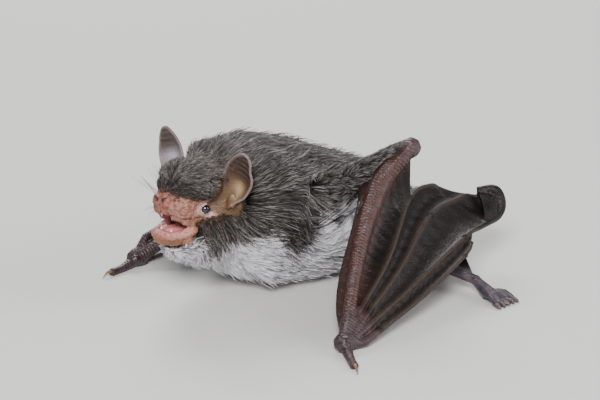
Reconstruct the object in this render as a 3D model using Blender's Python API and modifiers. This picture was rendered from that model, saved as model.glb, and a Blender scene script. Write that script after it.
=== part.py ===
"""A Daubenton's bat crouched on the ground, life size, as a still museum model.

The bat faces -X, its left side is -Y, and +Z is up. The origin is the middle of the flat on
its belly, at the level of the ground. Lengths below are millimetres and are scaled to metres
when a mesh is made. Body forms are the outline of the coat, out to the tips of the hairs.
"""

import math

import bmesh
import bpy
from mathutils import Matrix, Vector
from mathutils.bvhtree import BVHTree

MM = 0.001
GAP = 0.3  # clear space between neighbouring solids
SHEET = 0.5  # thickness of the wing and tail skin
RING = 20  # corners round a body section
CUTTER_GRAIN = 0.22  # how finely the room round a solid is drawn

# Trunk stations from the throat to the rump: place along X, lowest and highest fur, half width.
TRUNK = (
    (-18.4, 4.4, 23.4, 6.4),
    (-16.6, 3.0, 25.8, 9.0),
    (-13.4, 1.8, 26.9, 11.2),
    (-9.0, 0.5, 26.2, 12.6),
    (-3.0, -0.5, 24.4, 12.8),
    (3.0, -0.5, 21.9, 12.2),
    (9.0, -0.4, 19.5, 11.0),
    (14.5, 0.3, 16.9, 9.0),
    (18.5, 1.4, 13.6, 6.6),
    (21.5, 2.8, 10.4, 4.2),
    (23.4, 4.4, 8.2, 2.2),
)
RUFF = (-16.5, 3.0, 20.6)
RUFF_RADII = (4.6, 5.6, 5.2)

# The head is modelled level, facing -X from its neck joint, then turned and raised.
HEAD_JOINT = Vector((-16.6, 0.0, 14.6))
HEAD_TURN = math.radians(16.5)
HEAD_RAISE = math.radians(15.0)
HEAD_CUT = 0.6  # the head gives way to the neck this far behind its joint
NECK_CUT = Vector((-11.4, 0.0, 14.0))  # and the neck to the trunk here
NECK_LEAN = Vector((-1.0, -0.14, 0.12))
EYE = Vector((-7.3, 3.85, 0.4))
EYE_RADIUS = 0.72
EAR_ROOT = Vector((-3.9, 6.0, 1.7))
EAR_TIP = Vector((-6.1, 9.3, 11.1))
EAR_OUTWARD = math.radians(10.0)
TRAGUS_TIP = Vector((-5.3, 7.0, 3.7))
EAR_WIDTH = 6.8

# Joints of the limbs, left then right. The right wing is folded and its wrist set forward.
SIDES = {"left": -1.0, "right": 1.0}
SHOULDER = {"left": Vector((-6.0, -8.0, 14.5)), "right": Vector((-6.0, 8.0, 13.5))}
ELBOW = {"left": Vector((11.3, -16.0, 25.0)), "right": Vector((10.5, 18.6, 14.0))}
WRIST = {"left": Vector((-12.4, -34.2, 1.5)), "right": Vector((-25.0, 15.4, 1.5))}
THUMB_TIP = {"left": Vector((-15.2, -42.8, 0.5)), "right": Vector((-32.6, 13.0, 0.5))}
HIP = {"left": Vector((15.5, -5.0, 8.0)), "right": Vector((15.5, 5.0, 8.0))}
KNEE = {"left": Vector((12.6, -12.4, 5.6)), "right": Vector((13.4, 12.6, 5.6))}
ANKLE = {"left": Vector((19.4, -24.4, 2.4)), "right": Vector((21.6, 22.6, 2.4))}
TOES = {"left": Vector((20.9, -31.6, 0.55)), "right": Vector((27.6, 27.4, 0.55))}

# Each finger runs from its base at the wrist through its knuckles to its tip.
FINGERS = {
    "left": {
        2: ((-9.0, -34.7, 1.1), (5.3, -29.9, 4.4), (18.9, -23.9, 7.9), (21.5, -22.5, 8.1)),
        3: (
            (-9.3, -33.7, 2.2),
            (4.6, -28.0, 5.8),
            (18.9, -21.4, 9.2),
            (24.6, -18.2, 9.0),
            (30.6, -14.6, 8.6),
            (32.0, -13.6, 10.6),
            (31.4, -12.2, 12.6),
            (28.8, -10.6, 12.5),
        ),
        4: (
            (-9.3, -32.9, 3.0),
            (3.2, -25.6, 7.9),
            (14.7, -17.0, 12.5),
            (23.4, -12.0, 12.2),
            (27.6, -9.6, 11.6),
            (29.0, -8.0, 9.8),
        ),
        5: (
            (-9.5, -32.0, 3.9),
            (1.6, -24.6, 9.4),
            (11.4, -15.9, 15.9),
            (18.6, -11.4, 15.6),
            (22.4, -9.0, 13.2),
        ),
    },
    "right": {
        2: ((-21.8, 18.4, 0.9), (-7.0, 23.6, 2.0), (8.0, 26.8, 3.2), (11.0, 27.2, 3.6)),
        3: (
            (-22.0, 18.2, 2.1),
            (-6.0, 23.4, 4.2),
            (10.0, 26.2, 5.8),
            (21.6, 24.0, 6.4),
            (28.0, 20.0, 6.2),
            (25.8, 17.2, 6.0),
        ),
        4: (
            (-22.2, 17.6, 3.3),
            (-6.5, 22.4, 6.2),
            (9.2, 25.2, 8.6),
            (18.0, 21.4, 9.2),
            (23.2, 16.2, 8.6),
        ),
        5: (
            (-22.4, 17.0, 4.4),
            (-7.0, 21.2, 8.2),
            (8.2, 23.6, 11.2),
            (16.2, 19.8, 12.0),
            (20.6, 14.4, 11.0),
        ),
    },
}

UPPER_ARM_RADII = (3.0, 2.3, 1.8, 1.5)
FOREARM_RADII = (1.3, 1.75, 1.65, 1.2, 0.9, 0.85, 1.0)
FOREARM_BOW = {"left": 3.6, "right": 1.2}
FINGER_RADII = {
    2: (0.55, 0.4),
    3: (0.65, 0.55, 0.5, 0.55, 0.8, 1.0, 0.7),
    4: (0.6, 0.5, 0.5, 0.4),
    5: (0.6, 0.5, 0.5, 0.4),
}
# How far along its fingers each side's wing skin reaches.
MEMBRANE_ENDS = {"left": {5: 1.0, 4: 1.0, 3: 0.9, 2: 0.97}, "right": {5: 1.0, 4: 1.0, 3: 1.0, 2: 0.98}}
TAIL_PATH = ((21.5, 0, 5.6), (25.2, 0, 4.6), (27.6, 0, 2.2), (26.4, 0, 0.6), (22.0, 0, 0.4))

# Most triangles of each solid, without its side.
TRIANGLES = {
    "upper_teeth": 160,
    "lower_teeth": 160,
    "tongue": 120,
    "lower_jaw": 380,
    "head": 1500,
    "neck": 260,
    "trunk": 760,
    "ear": 230,
    "tragus": 90,
    "thigh": 80,
    "shank": 80,
    "foot": 300,
    "upper_arm": 110,
    "forearm": 270,
    "thumb": 90,
    "thumb_claw": 70,
    "finger_2": 90,
    "finger_3": 170,
    "finger_4": 130,
    "finger_5": 130,
    "propatagium": 120,
    "membrane_arm": 200,
    "membrane_5_4": 180,
    "membrane_4_3": 200,
    "membrane_3_2": 110,
    "membrane_flank": 260,
    "tail": 100,
    "tail_membrane": 180,
}

COLOURS = {
    "dark_fur": ((0.15, 0.13, 0.12), 0.95),
    "pale_fur": ((0.75, 0.73, 0.74), 0.95),
    "face_skin": ((0.62, 0.36, 0.29), 0.55),
    "ear_skin": ((0.42, 0.30, 0.22), 0.55),
    "arm_skin": ((0.25, 0.13, 0.10), 0.5),
    "wing_skin": ((0.075, 0.06, 0.055), 0.6),
    "foot_skin": ((0.36, 0.27, 0.26), 0.6),
    "mouth_skin": ((0.66, 0.30, 0.28), 0.35),
    "eye": ((0.01, 0.01, 0.01), 0.08),
    "tooth": ((0.85, 0.83, 0.78), 0.25),
    "claw": ((0.30, 0.22, 0.16), 0.35),
}


def clear_scene():
    for old in list(bpy.data.objects):
        bpy.data.objects.remove(old, do_unlink=True)


def make_collection(name, hidden=False):
    made = bpy.data.collections.new(name)
    bpy.context.scene.collection.children.link(made)
    made.hide_render = hidden
    return made


def make_materials():
    made = {}
    for name, (colour, roughness) in COLOURS.items():
        material = bpy.data.materials.new(name)
        material.use_nodes = True
        shader = material.node_tree.nodes["Principled BSDF"]
        shader.inputs["Base Color"].default_value = (*colour, 1.0)
        shader.inputs["Roughness"].default_value = roughness
        made[name] = material
    return made


def new_object(name, bm, folder):
    """Puts a bmesh drawn in millimetres into the scene in metres."""
    bmesh.ops.scale(bm, vec=(MM, MM, MM), verts=bm.verts)
    mesh = bpy.data.meshes.new(name)
    bm.to_mesh(mesh)
    bm.free()
    made = bpy.data.objects.new(name, mesh)
    folder.objects.link(made)
    return made


def baked(obj):
    """Replaces an object's mesh by what its modifiers make of it."""
    bpy.context.view_layer.update()
    graph = bpy.context.evaluated_depsgraph_get()
    mesh = bpy.data.meshes.new_from_object(obj.evaluated_get(graph))
    obj.modifiers.clear()
    obj.data = mesh
    return obj


def finish(obj, material):
    obj.data.materials.clear()
    obj.data.materials.append(material)
    obj.data.shade_smooth()
    obj.data.set_sharp_from_angle(angle=math.radians(50))
    return obj


def largest_piece(obj):
    """Drops all but the largest of a mesh's loose islands, which a cut may leave behind."""
    bm = bmesh.new()
    bm.from_mesh(obj.data)
    islands, seen = [], set()
    for start in bm.verts:
        if start in seen:
            continue
        island, queue = [], [start]
        seen.add(start)
        while queue:
            vert = queue.pop()
            island.append(vert)
            for edge in vert.link_edges:
                other = edge.other_vert(vert)
                if other not in seen:
                    seen.add(other)
                    queue.append(other)
        islands.append(island)
    islands.sort(key=len)
    for island in islands[:-1]:
        bmesh.ops.delete(bm, geom=island, context="VERTS")
    bm.to_mesh(obj.data)
    bm.free()
    return obj


# ---- forms ----------------------------------------------------------------------------


def add_ball(bm, centre, radii, turn=None, segments=20, rings=12):
    place = Matrix.Translation(Vector(centre)) @ (turn or Matrix.Identity(4))
    place = place @ Matrix.Diagonal((*radii, 1.0))
    bmesh.ops.create_uvsphere(bm, u_segments=segments, v_segments=rings, radius=1.0, matrix=place)


def add_ring(bm, centre, across, upward, segments):
    """A ring whose half axes are the vectors across and upward, and its edges."""
    made = bmesh.ops.create_circle(bm, cap_ends=False, segments=segments, radius=1.0)
    for vert in made["verts"]:
        vert.co = Vector(centre) + across * vert.co.x + upward * vert.co.y
    return list({edge for vert in made["verts"] for edge in vert.link_edges})


def add_loft(bm, rings):
    """Bridges rings given as (centre, across, upward), and closes both ends."""
    edges = [add_ring(bm, *ring, RING) for ring in rings]
    for near, far in zip(edges, edges[1:]):
        bmesh.ops.bridge_loops(bm, edges=near + far)
    bmesh.ops.holes_fill(bm, edges=edges[0] + edges[-1], sides=0)
    bmesh.ops.recalc_face_normals(bm, faces=bm.faces)


def smooth_path(points, steps):
    """Points along a Catmull-Rom curve through the given ones, with steps to each stretch."""
    points = [Vector(p) for p in points]
    ends = [points[0] * 2 - points[1], *points, points[-1] * 2 - points[-2]]
    path = []
    for a, b, c, d in zip(ends, ends[1:], ends[2:], ends[3:]):
        for step in range(steps):
            t = step / steps
            path.append(
                0.5
                * (
                    2 * b
                    + (c - a) * t
                    + (2 * a - 5 * b + 4 * c - d) * t * t
                    + (3 * b - a - 3 * c + d) * t**3
                )
            )
    path.append(points[-1])
    return path


def spread(values, share):
    """The value at a share of the way along a list of evenly spaced ones."""
    place = share * (len(values) - 1)
    low = min(int(place), len(values) - 2)
    return values[low] + (values[low + 1] - values[low]) * (place - low)


def tube_mesh(points, radii, resolution=1):
    """A mesh tube along points, with radii spread evenly along it and filled, welded ends."""
    curve = bpy.data.curves.new("tube", "CURVE")
    curve.dimensions = "3D"
    curve.bevel_depth = MM
    curve.bevel_resolution = resolution
    curve.use_fill_caps = True
    spline = curve.splines.new("POLY")
    spline.points.add(len(points) - 1)
    for index, (point, place) in enumerate(zip(spline.points, points)):
        point.co = (*(Vector(place) * MM), 1.0)
        point.radius = spread(radii, index / (len(points) - 1))
    holder = bpy.data.objects.new("tube", curve)
    bpy.context.scene.collection.objects.link(holder)
    bpy.context.view_layer.update()
    graph = bpy.context.evaluated_depsgraph_get()
    mesh = bpy.data.meshes.new_from_object(holder.evaluated_get(graph))
    bpy.data.objects.remove(holder)
    bm = bmesh.new()
    bm.from_mesh(mesh)
    bmesh.ops.remove_doubles(bm, verts=bm.verts, dist=0.005 * MM)
    bmesh.ops.recalc_face_normals(bm, faces=bm.faces)
    bmesh.ops.scale(bm, vec=(1 / MM,) * 3, verts=bm.verts)
    return bm


def add_tube(bm, points, radii, resolution=1):
    """Adds a tube to a bmesh, still in millimetres."""
    tube = tube_mesh(points, radii, resolution)
    carrier = bpy.data.meshes.new("carrier")
    tube.to_mesh(carrier)
    tube.free()
    bm.from_mesh(carrier)
    bpy.data.meshes.remove(carrier)


def fused(name, bm, folder, voxel, triangles, rounds=4):
    """Melts overlapping forms into one smooth closed skin of about so many triangles."""
    obj = new_object(name, bm, folder)
    remesh = obj.modifiers.new("melt", "REMESH")
    remesh.mode = "VOXEL"
    remesh.voxel_size = voxel * MM
    smooth = obj.modifiers.new("smooth", "SMOOTH")
    smooth.iterations = rounds
    smooth.factor = 0.5
    baked(obj)
    return thinned(obj, triangles) if triangles else obj


def flattened(obj):
    """Cuts a solid off level with the ground."""
    bm = bmesh.new()
    bm.from_mesh(obj.data)
    cut = bmesh.ops.bisect_plane(
        bm,
        geom=bm.verts[:] + bm.edges[:] + bm.faces[:],
        plane_co=(0, 0, 0),
        plane_no=(0, 0, 1),
        clear_inner=True,
    )
    edges = [e for e in cut["geom_cut"] if isinstance(e, bmesh.types.BMEdge)]
    bmesh.ops.holes_fill(bm, edges=edges, sides=0)
    bmesh.ops.recalc_face_normals(bm, faces=bm.faces)
    bm.to_mesh(obj.data)
    bm.free()
    return obj


def half_of(obj, name, folder, point, normal):
    """A copy of what lies on a plane's normal side, GAP / 2 clear of it."""
    made = obj.copy()
    made.data = obj.data.copy()
    made.name = name
    folder.objects.link(made)
    normal = Vector(normal).normalized()
    bm = bmesh.new()
    bm.from_mesh(made.data)
    cut = bmesh.ops.bisect_plane(
        bm,
        geom=bm.verts[:] + bm.edges[:] + bm.faces[:],
        plane_co=(Vector(point) + normal * GAP / 2) * MM,
        plane_no=normal,
        clear_inner=True,
    )
    edges = [e for e in cut["geom_cut"] if isinstance(e, bmesh.types.BMEdge)]
    bmesh.ops.holes_fill(bm, edges=edges, sides=0)
    bmesh.ops.recalc_face_normals(bm, faces=bm.faces)
    bm.to_mesh(made.data)
    bm.free()
    return made


def swollen(obj, folder):
    """A cutter: a solid grown by GAP along its normals, and melted into one closed skin."""
    made = obj.copy()
    made.data = obj.data.copy()
    made.name = "cutter_" + obj.name
    made.hide_render = True
    made.display_type = "WIRE"
    folder.objects.link(made)
    bm = bmesh.new()
    bm.from_mesh(made.data)
    bm.normal_update()
    triangles = sum(len(face.verts) - 2 for face in bm.faces)
    moves = []
    for vert in bm.verts:
        moves.append((vert, vert.normal * min(vert.calc_shell_factor(), 1.8) * GAP * MM))
    for vert, move in moves:
        vert.co += move
    bm.to_mesh(made.data)
    bm.free()
    melt = made.modifiers.new("melt", "REMESH")
    melt.mode = "VOXEL"
    melt.voxel_size = CUTTER_GRAIN * MM
    baked(made)
    return thinned(made, triangles)


def tree_of(obj):
    """A mesh's triangles, ready to be tested against another's."""
    bm = bmesh.new()
    bm.from_mesh(obj.data)
    tree = BVHTree.FromBMesh(bm)
    bm.free()
    return tree


def trimmed(obj, cutters):
    """Cuts an object back to clear the solids that these cutters were grown from."""
    for cutter in cutters:
        if not tree_of(obj).overlap(tree_of(cutter)):
            continue
        cut = obj.modifiers.new(cutter.name, "BOOLEAN")
        cut.operation = "DIFFERENCE"
        cut.solver = "MANIFOLD"  # EXACT leaves open edges where a thin skin is cut
        cut.object = cutter
        baked(obj)
        largest_piece(obj)
    return obj


# ---- body and head ----------------------------------------------------------------------


def body_section(station):
    """A body ring from its station (x, lowest, highest, half width)."""
    x, low, high, half = station
    return Vector((x, 0, (low + high) / 2)), Vector((0, half, 0)), Vector((0, 0, (high - low) / 2))


def smooth_stations(stations, steps):
    """The stations with more in between, along smooth curves."""
    levels = smooth_path([(s[0], s[1], s[2]) for s in stations], steps)
    sides = smooth_path([(s[0], s[3], 0) for s in stations], steps)
    return [(level.x, level.y, level.z, side.y) for level, side in zip(levels, sides)]


def head_frame():
    """Places head-frame points in the world."""
    turn = Matrix.Rotation(HEAD_TURN, 4, "Z") @ Matrix.Rotation(HEAD_RAISE, 4, "Y")
    return Matrix.Translation(HEAD_JOINT) @ turn


def on_side(point, sign):
    """A point of the right half of the head, in the world, on either side."""
    return head_frame() @ Vector((point[0], sign * point[1], point[2]))


def add_head_forms(bm):
    """Skull, cheeks, throat and muzzle, down to the upper lips."""
    add_ball(bm, (-1.0, 0, 1.4), (5.9, 7.0, 6.9))
    add_ball(bm, (2.6, 0, 4.2), (5.4, 8.8, 7.8))
    add_ball(bm, (-7.6, 0, 4.5), (5.4, 5.9, 3.8))
    add_ball(bm, (-4.2, 0, 4.6), (5.0, 5.2, 4.2))
    add_ball(bm, (-10.2, 0, 3.2), (3.5, 4.3, 1.7))
    add_ball(bm, (-2.4, 0, -4.6), (6.6, 6.8, 5.9))
    add_ball(bm, (-7.0, 0, -6.8), (4.0, 4.0, 2.8))
    add_ball(bm, (-10.4, 0, 0.8), (3.6, 3.0, 2.1))
    add_ball(bm, (-12.1, 0, 0.5), (1.8, 2.2, 1.9))
    add_ball(bm, (-13.1, 0, 1.1), (1.2, 1.8, 1.4))
    for sign in SIDES.values():
        add_ball(bm, (-3.2, sign * 4.0, -2.8), (4.0, 3.3, 3.8))
        add_ball(bm, (-7.2, sign * 2.3, 0.0), (2.9, 1.75, 2.4))
        add_ball(bm, (-10.4, sign * 2.3, 0.0), (2.7, 1.5, 2.2))
        add_ball(bm, (-11.4, sign * 1.6, -1.0), (1.9, 0.95, 0.95))
        add_ball(bm, (-9.2, sign * 2.6, -1.7), (1.9, 0.95, 1.2))
        add_ball(bm, (-13.6, sign * 1.0, 0.95), (0.85, 0.8, 1.0))


def make_outline(folder):
    """The whole coat's outline, from the muzzle to the rump, as one skin."""
    forms = bmesh.new()
    add_head_forms(forms)
    forms.transform(head_frame())
    add_loft(forms, [body_section(s) for s in smooth_stations(TRUNK, 3)])
    add_ball(forms, RUFF, RUFF_RADII)
    for side, sign in SIDES.items():
        add_ball(forms, SHOULDER[side], (6.2, 4.6, 5.6))
        add_ball(forms, SHOULDER[side].lerp(ELBOW[side], 0.3), (4.6, 3.4, 4.0))
        add_ball(forms, (-10.0, sign * 7.0, 7.6), (5.6, 3.8, 5.4))
        add_ball(forms, HIP[side], (4.6, 3.8, 4.6))
    return fused("outline", forms, folder, 0.34, None, rounds=3)


def thinned(obj, triangles):
    """Brings a mesh down to about so many triangles."""
    obj.data.calc_loop_triangles()
    thin = obj.modifiers.new("thin", "DECIMATE")
    thin.ratio = min(1.0, triangles / len(obj.data.loop_triangles))
    thin.use_collapse_triangulate = True
    return baked(obj)


def make_mouth_cutter(folder):
    """The room inside the open mouth."""
    bm = bmesh.new()
    add_ball(bm, (-10.6, 0, -2.9), (4.2, 2.5, 1.6))
    add_ball(bm, (-13.6, 0, -3.0), (1.6, 2.4, 1.5))
    bm.transform(head_frame())
    cutter = new_object("mouth_room", bm, folder)
    remesh = cutter.modifiers.new("melt", "REMESH")
    remesh.mode = "VOXEL"
    remesh.voxel_size = 0.3 * MM
    baked(cutter)
    return thinned(cutter, 160)


def make_jaw(folder):
    """The lower jaw and its lips, hanging open."""
    bm = bmesh.new()
    for sign in SIDES.values():
        rim = [
            (-8.3, sign * 3.0, -3.4),
            (-9.6, sign * 2.6, -4.1),
            (-11.2, sign * 1.95, -4.7),
            (-12.6, sign * 1.15, -4.85),
            (-13.2, 0, -4.6),
        ]
        for point in smooth_path(rim, 3):
            add_ball(bm, point, (0.75, 0.65, 0.7), segments=12, rings=8)
    add_ball(bm, (-8.4, 0, -5.1), (1.9, 3.1, 1.35))
    add_ball(bm, (-10.2, 0, -5.4), (1.9, 2.5, 1.15))
    add_ball(bm, (-11.7, 0, -5.4), (1.6, 1.75, 1.05))
    add_ball(bm, (-12.6, 0, -5.2), (1.0, 1.1, 0.9))
    bm.transform(head_frame())
    return fused("lower_jaw", bm, folder, 0.2, 360, rounds=1)


def make_tongue(folder):
    path = ((-7.6, 0, -3.5), (-9.2, 0, -3.75), (-10.8, 0, -4.0), (-12.0, 0, -4.25))
    widths = (1.3, 1.5, 1.15, 0.55)
    rings = []
    for point, width in zip(path, widths):
        rings.append((Vector(point), Vector((0, width, 0)), Vector((0, 0, 0.42))))
    bm = bmesh.new()
    add_loft(bm, rings)
    bm.transform(head_frame())
    return fused("tongue", bm, folder, 0.2, 140, rounds=2)


def make_teeth(name, folder, bow, upward):
    """One jaw's teeth on their gum: a bowed row with a pair of longer canines."""
    row = []
    for sign, points in ((-1, bow), (1, bow[-2::-1])):
        row += [Vector((p[0], sign * p[1], p[2])) for p in points]
    bm = bmesh.new()
    add_tube(bm, smooth_path(row, 2), (0.3, 0.3), 1)
    heights = (0.35, 0.45, 0.45, 0.75, 0.35, 0.35)
    for sign in SIDES.values():
        places = points_along([(p[0], sign * p[1], p[2]) for p in bow], 0.1, 0.92, len(heights))
        for root, height in zip(places, heights):
            tip = root + Vector((0, 0, upward * height))
            add_tube(bm, [root, tip], (0.34, 0.2), 1)
    bm.transform(head_frame())
    return fused(name, bm, folder, 0.13, 200, rounds=1)


def make_eye(name, folder, sign):
    bm = bmesh.new()
    add_ball(bm, on_side(EYE, sign), (EYE_RADIUS,) * 3, segments=12, rings=8)
    return new_object(name, bm, folder)


def limb_frame(root, tip, facing):
    """Places a form that stands on its root along Z and faces -X."""
    upward = (tip - root).normalized()
    back = -(facing - upward * facing.dot(upward)).normalized()
    aside = upward.cross(back)
    turn = Matrix((back, aside, upward)).transposed().to_4x4()
    return Matrix.Translation(root) @ turn


def ear_facing(sign):
    return Vector((-math.cos(EAR_OUTWARD), sign * math.sin(EAR_OUTWARD), 0))


def add_grid(bm, rows):
    """Faces over rows of points."""
    made = [[bm.verts.new(point) for point in row] for row in rows]
    for row, above in zip(made, made[1:]):
        for a, b, c, d in zip(row, row[1:], above[1:], above):
            bm.faces.new((a, b, c, d))


def ear_row(along, sign, length, columns):
    """Points across an ear, from its inner edge round to its outer one."""
    width = EAR_WIDTH * (0.55 + 0.45 * math.sin(math.pi * along**1.3))
    width = max(width * (1.0 - along**5) ** 0.6, 1.1)
    bend = 2.4 - 1.2 * along
    row = []
    for j in range(columns + 1):
        angle = (j / columns - 0.5) * bend
        aside = 0.5 * width * math.sin(angle) / math.sin(0.5 * bend)
        cup = (math.cos(angle) - 1.0) * 0.45 * width
        notch = 1.2 * max(0.0, j / columns - 0.75) * math.exp(-(((along - 0.72) / 0.12) ** 2))
        sway = 0.9 * math.sin(math.pi * along)
        row.append(Vector((cup + sway, sign * (aside - notch), length * along)))
    return row


def make_ear(name, folder, sign):
    """An open funnel of skin that faces forwards and a little outwards."""
    rows, columns = 9, 6
    length = (EAR_TIP - EAR_ROOT).length
    bm = bmesh.new()
    add_grid(bm, [ear_row(i / rows, sign, length, columns) for i in range(rows + 1)])
    root = Vector((EAR_ROOT.x, sign * EAR_ROOT.y, EAR_ROOT.z))
    tip = Vector((EAR_TIP.x, sign * EAR_TIP.y, EAR_TIP.z))
    bm.transform(head_frame() @ limb_frame(root, tip, ear_facing(sign)))
    return thickened(name, bm, folder, SHEET)


def make_tragus(name, folder, sign):
    """The blunt lobe that stands in the mouth of an ear."""
    root = Vector((EAR_ROOT.x - 1.2, sign * (EAR_ROOT.y + 0.5), EAR_ROOT.z - 0.3))
    tip = Vector((TRAGUS_TIP.x, sign * TRAGUS_TIP.y, TRAGUS_TIP.z))
    length = (tip - root).length
    bm = bmesh.new()
    rings = []
    for share, width in ((0.0, 0.9), (0.35, 1.0), (0.7, 0.8), (1.0, 0.4)):
        rings.append((Vector((0, 0, share * length)), Vector((0, width, 0)), Vector((0.34, 0, 0))))
    add_loft(bm, rings)
    bm.transform(head_frame() @ limb_frame(root, tip, ear_facing(sign)))
    return fused(name, bm, folder, 0.17, 130, rounds=2)


# ---- limbs ------------------------------------------------------------------------------


def thickened(name, bm, folder, thickness):
    """A sheet given a thickness about its middle."""
    bmesh.ops.recalc_face_normals(bm, faces=bm.faces)
    obj = new_object(name, bm, folder)
    solidify = obj.modifiers.new("skin", "SOLIDIFY")
    solidify.thickness = thickness * MM
    solidify.offset = 0.0
    return baked(obj)


def points_along(path, first, last, count):
    """Evenly spaced points along a path, between two shares of its length."""
    path = [Vector(p) for p in path]
    lengths = [(b - a).length for a, b in zip(path, path[1:])]
    made = []
    for step in range(count):
        left = sum(lengths) * (first + (last - first) * step / (count - 1))
        for index, length in enumerate(lengths):
            if left <= length or index == len(lengths) - 1:
                made.append(path[index].lerp(path[index + 1], left / length))
                break
            left -= length
    return made


def make_panel(name, folder, near, far, clear, sag, columns=3):
    """Wing skin between two lines of points: it stops clear of each and sags between them."""
    middle = len(near) // 2
    facing = (near[-1] - near[0]).cross(far[middle] - near[middle]).normalized()
    grid = []
    for a, b in zip(near, far):
        reach = (b - a).length
        start, stop = clear[0] / reach, 1 - clear[1] / reach
        if stop - start < 0.5 / reach:
            continue
        dip = sag * min(1.0, reach / 6.0)
        row = []
        for j in range(columns + 1):
            share = start + (stop - start) * j / columns
            row.append(a.lerp(b, share) + facing * dip * math.sin(math.pi * j / columns))
        grid.append(row)
    bm = bmesh.new()
    add_grid(bm, grid)
    return thickened(name, bm, folder, SHEET)


def make_bone(name, folder, path, radii, steps=2, resolution=1):
    """A limb as one smooth tube."""
    return new_object(name, tube_mesh(smooth_path(path, steps), radii, resolution), folder)


def forearm_path(side):
    """The forearm's axis from elbow to wrist, bowed towards the body."""
    elbow, wrist = ELBOW[side], WRIST[side]
    chord = wrist - elbow
    inward = SHOULDER[side] - elbow
    bow = (inward - chord * (inward.dot(chord) / chord.length_squared)).normalized()
    path = []
    for share in (0.0, 0.15, 0.3, 0.45, 0.6, 0.75, 0.9, 1.0):
        swing = math.sin(math.pi * share**0.62)
        path.append(elbow.lerp(wrist, share) + bow * FOREARM_BOW[side] * swing)
    return path


def make_forearm(name, folder, side):
    elbow, wrist = ELBOW[side], WRIST[side]
    bm = bmesh.new()
    add_tube(bm, smooth_path(forearm_path(side), 2), FOREARM_RADII, 2)
    add_ball(bm, elbow, (1.7, 1.7, 1.7))
    add_ball(bm, wrist + Vector((0.4, 0.3, 0.0)), (2.1, 1.5, 1.7))
    return fused(name, bm, folder, 0.36, 300, rounds=2)


def make_upper_arm(name, folder, side):
    """The arm from the coat of the shoulder to the elbow."""
    path = [SHOULDER[side].lerp(ELBOW[side], share) for share in (0.15, 0.4, 0.7, 0.94)]
    bm = bmesh.new()
    add_tube(bm, smooth_path(path, 2), UPPER_ARM_RADII, 2)
    return fused(name, bm, folder, 0.45, 180, rounds=2)


def make_thumb(name, folder, side):
    wrist, tip = WRIST[side], THUMB_TIP[side]
    path = [wrist.lerp(tip, share) for share in (0.1, 0.3, 0.52, 0.74)]
    for point, height in zip(path, (1.1, 0.75, 0.5, 0.55)):
        point.z = height
    return make_bone(name, folder, path, (0.9, 0.75, 0.62, 0.66))


def make_thumb_claw(name, folder, side):
    wrist, tip = WRIST[side], THUMB_TIP[side]
    path = [wrist.lerp(tip, share) for share in (0.7, 0.84, 0.94, 1.0)]
    for point, height in zip(path, (0.85, 1.1, 0.85, 0.18)):
        point.z = height
    return make_bone(name, folder, path, (0.45, 0.42, 0.36, 0.26))


def make_foot(name, folder, side):
    """Sole, five toes and their claws, spread on the ground."""
    ankle, toes = ANKLE[side], TOES[side]
    ahead = toes - ankle
    flat = Vector((ahead.x, ahead.y, 0)).normalized()
    aside = Vector((-flat.y, flat.x, 0))
    bm = bmesh.new()
    ball = ankle + ahead * 0.42
    ball.z = 0.9
    add_tube(bm, smooth_path([ankle, ankle.lerp(ball, 0.5), ball], 2), (0.8, 0.95, 1.2), 2)
    for toe in range(5):
        offset = (toe - 2) / 2
        root = ball + aside * offset
        middle = root + flat * 1.9 + aside * offset * 0.6 + Vector((0, 0, 0.5))
        tip = root + flat * 3.7 + aside * offset * 1.1
        tip.z = 0.6
        hook = tip + flat * 1.1
        hook.z = 0.32
        add_tube(bm, smooth_path([root, middle, tip, hook], 2), (0.52, 0.46, 0.36, 0.26), 1)
    return fused(name, bm, folder, 0.17, 300, rounds=1)


# ---- the whole bat ----------------------------------------------------------------------


class Model:
    """Collects the solids: each new one is cut back clear of all that were there before."""

    def __init__(self):
        self.folder = make_collection("bat")
        self.guides = make_collection("cutters", hidden=True)
        self.materials = make_materials()
        self.cutters = []

    def add(self, obj, material):
        trimmed(obj, self.cutters)
        if min(vert.co.z for vert in obj.data.vertices) < 0:
            flattened(obj)
            largest_piece(obj)
        kind = obj.name.removesuffix("_left").removesuffix("_right")
        if kind in TRIANGLES:
            thinned(obj, TRIANGLES[kind])
        self.cutters.append(swollen(obj, self.guides))
        return finish(obj, self.materials[material])

    def clear_cutters(self):
        for cutter in self.cutters:
            bpy.data.objects.remove(cutter)
        self.cutters = []


UPPER_BOW = ((-9.2, 2.1, -1.7), (-10.6, 1.75, -1.45), (-12.0, 1.2, -1.2), (-12.9, 0.0, -1.0))
LOWER_BOW = ((-9.0, 2.15, -3.9), (-10.6, 1.7, -4.35), (-11.9, 1.0, -4.6), (-12.5, 0.0, -4.5))


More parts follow.
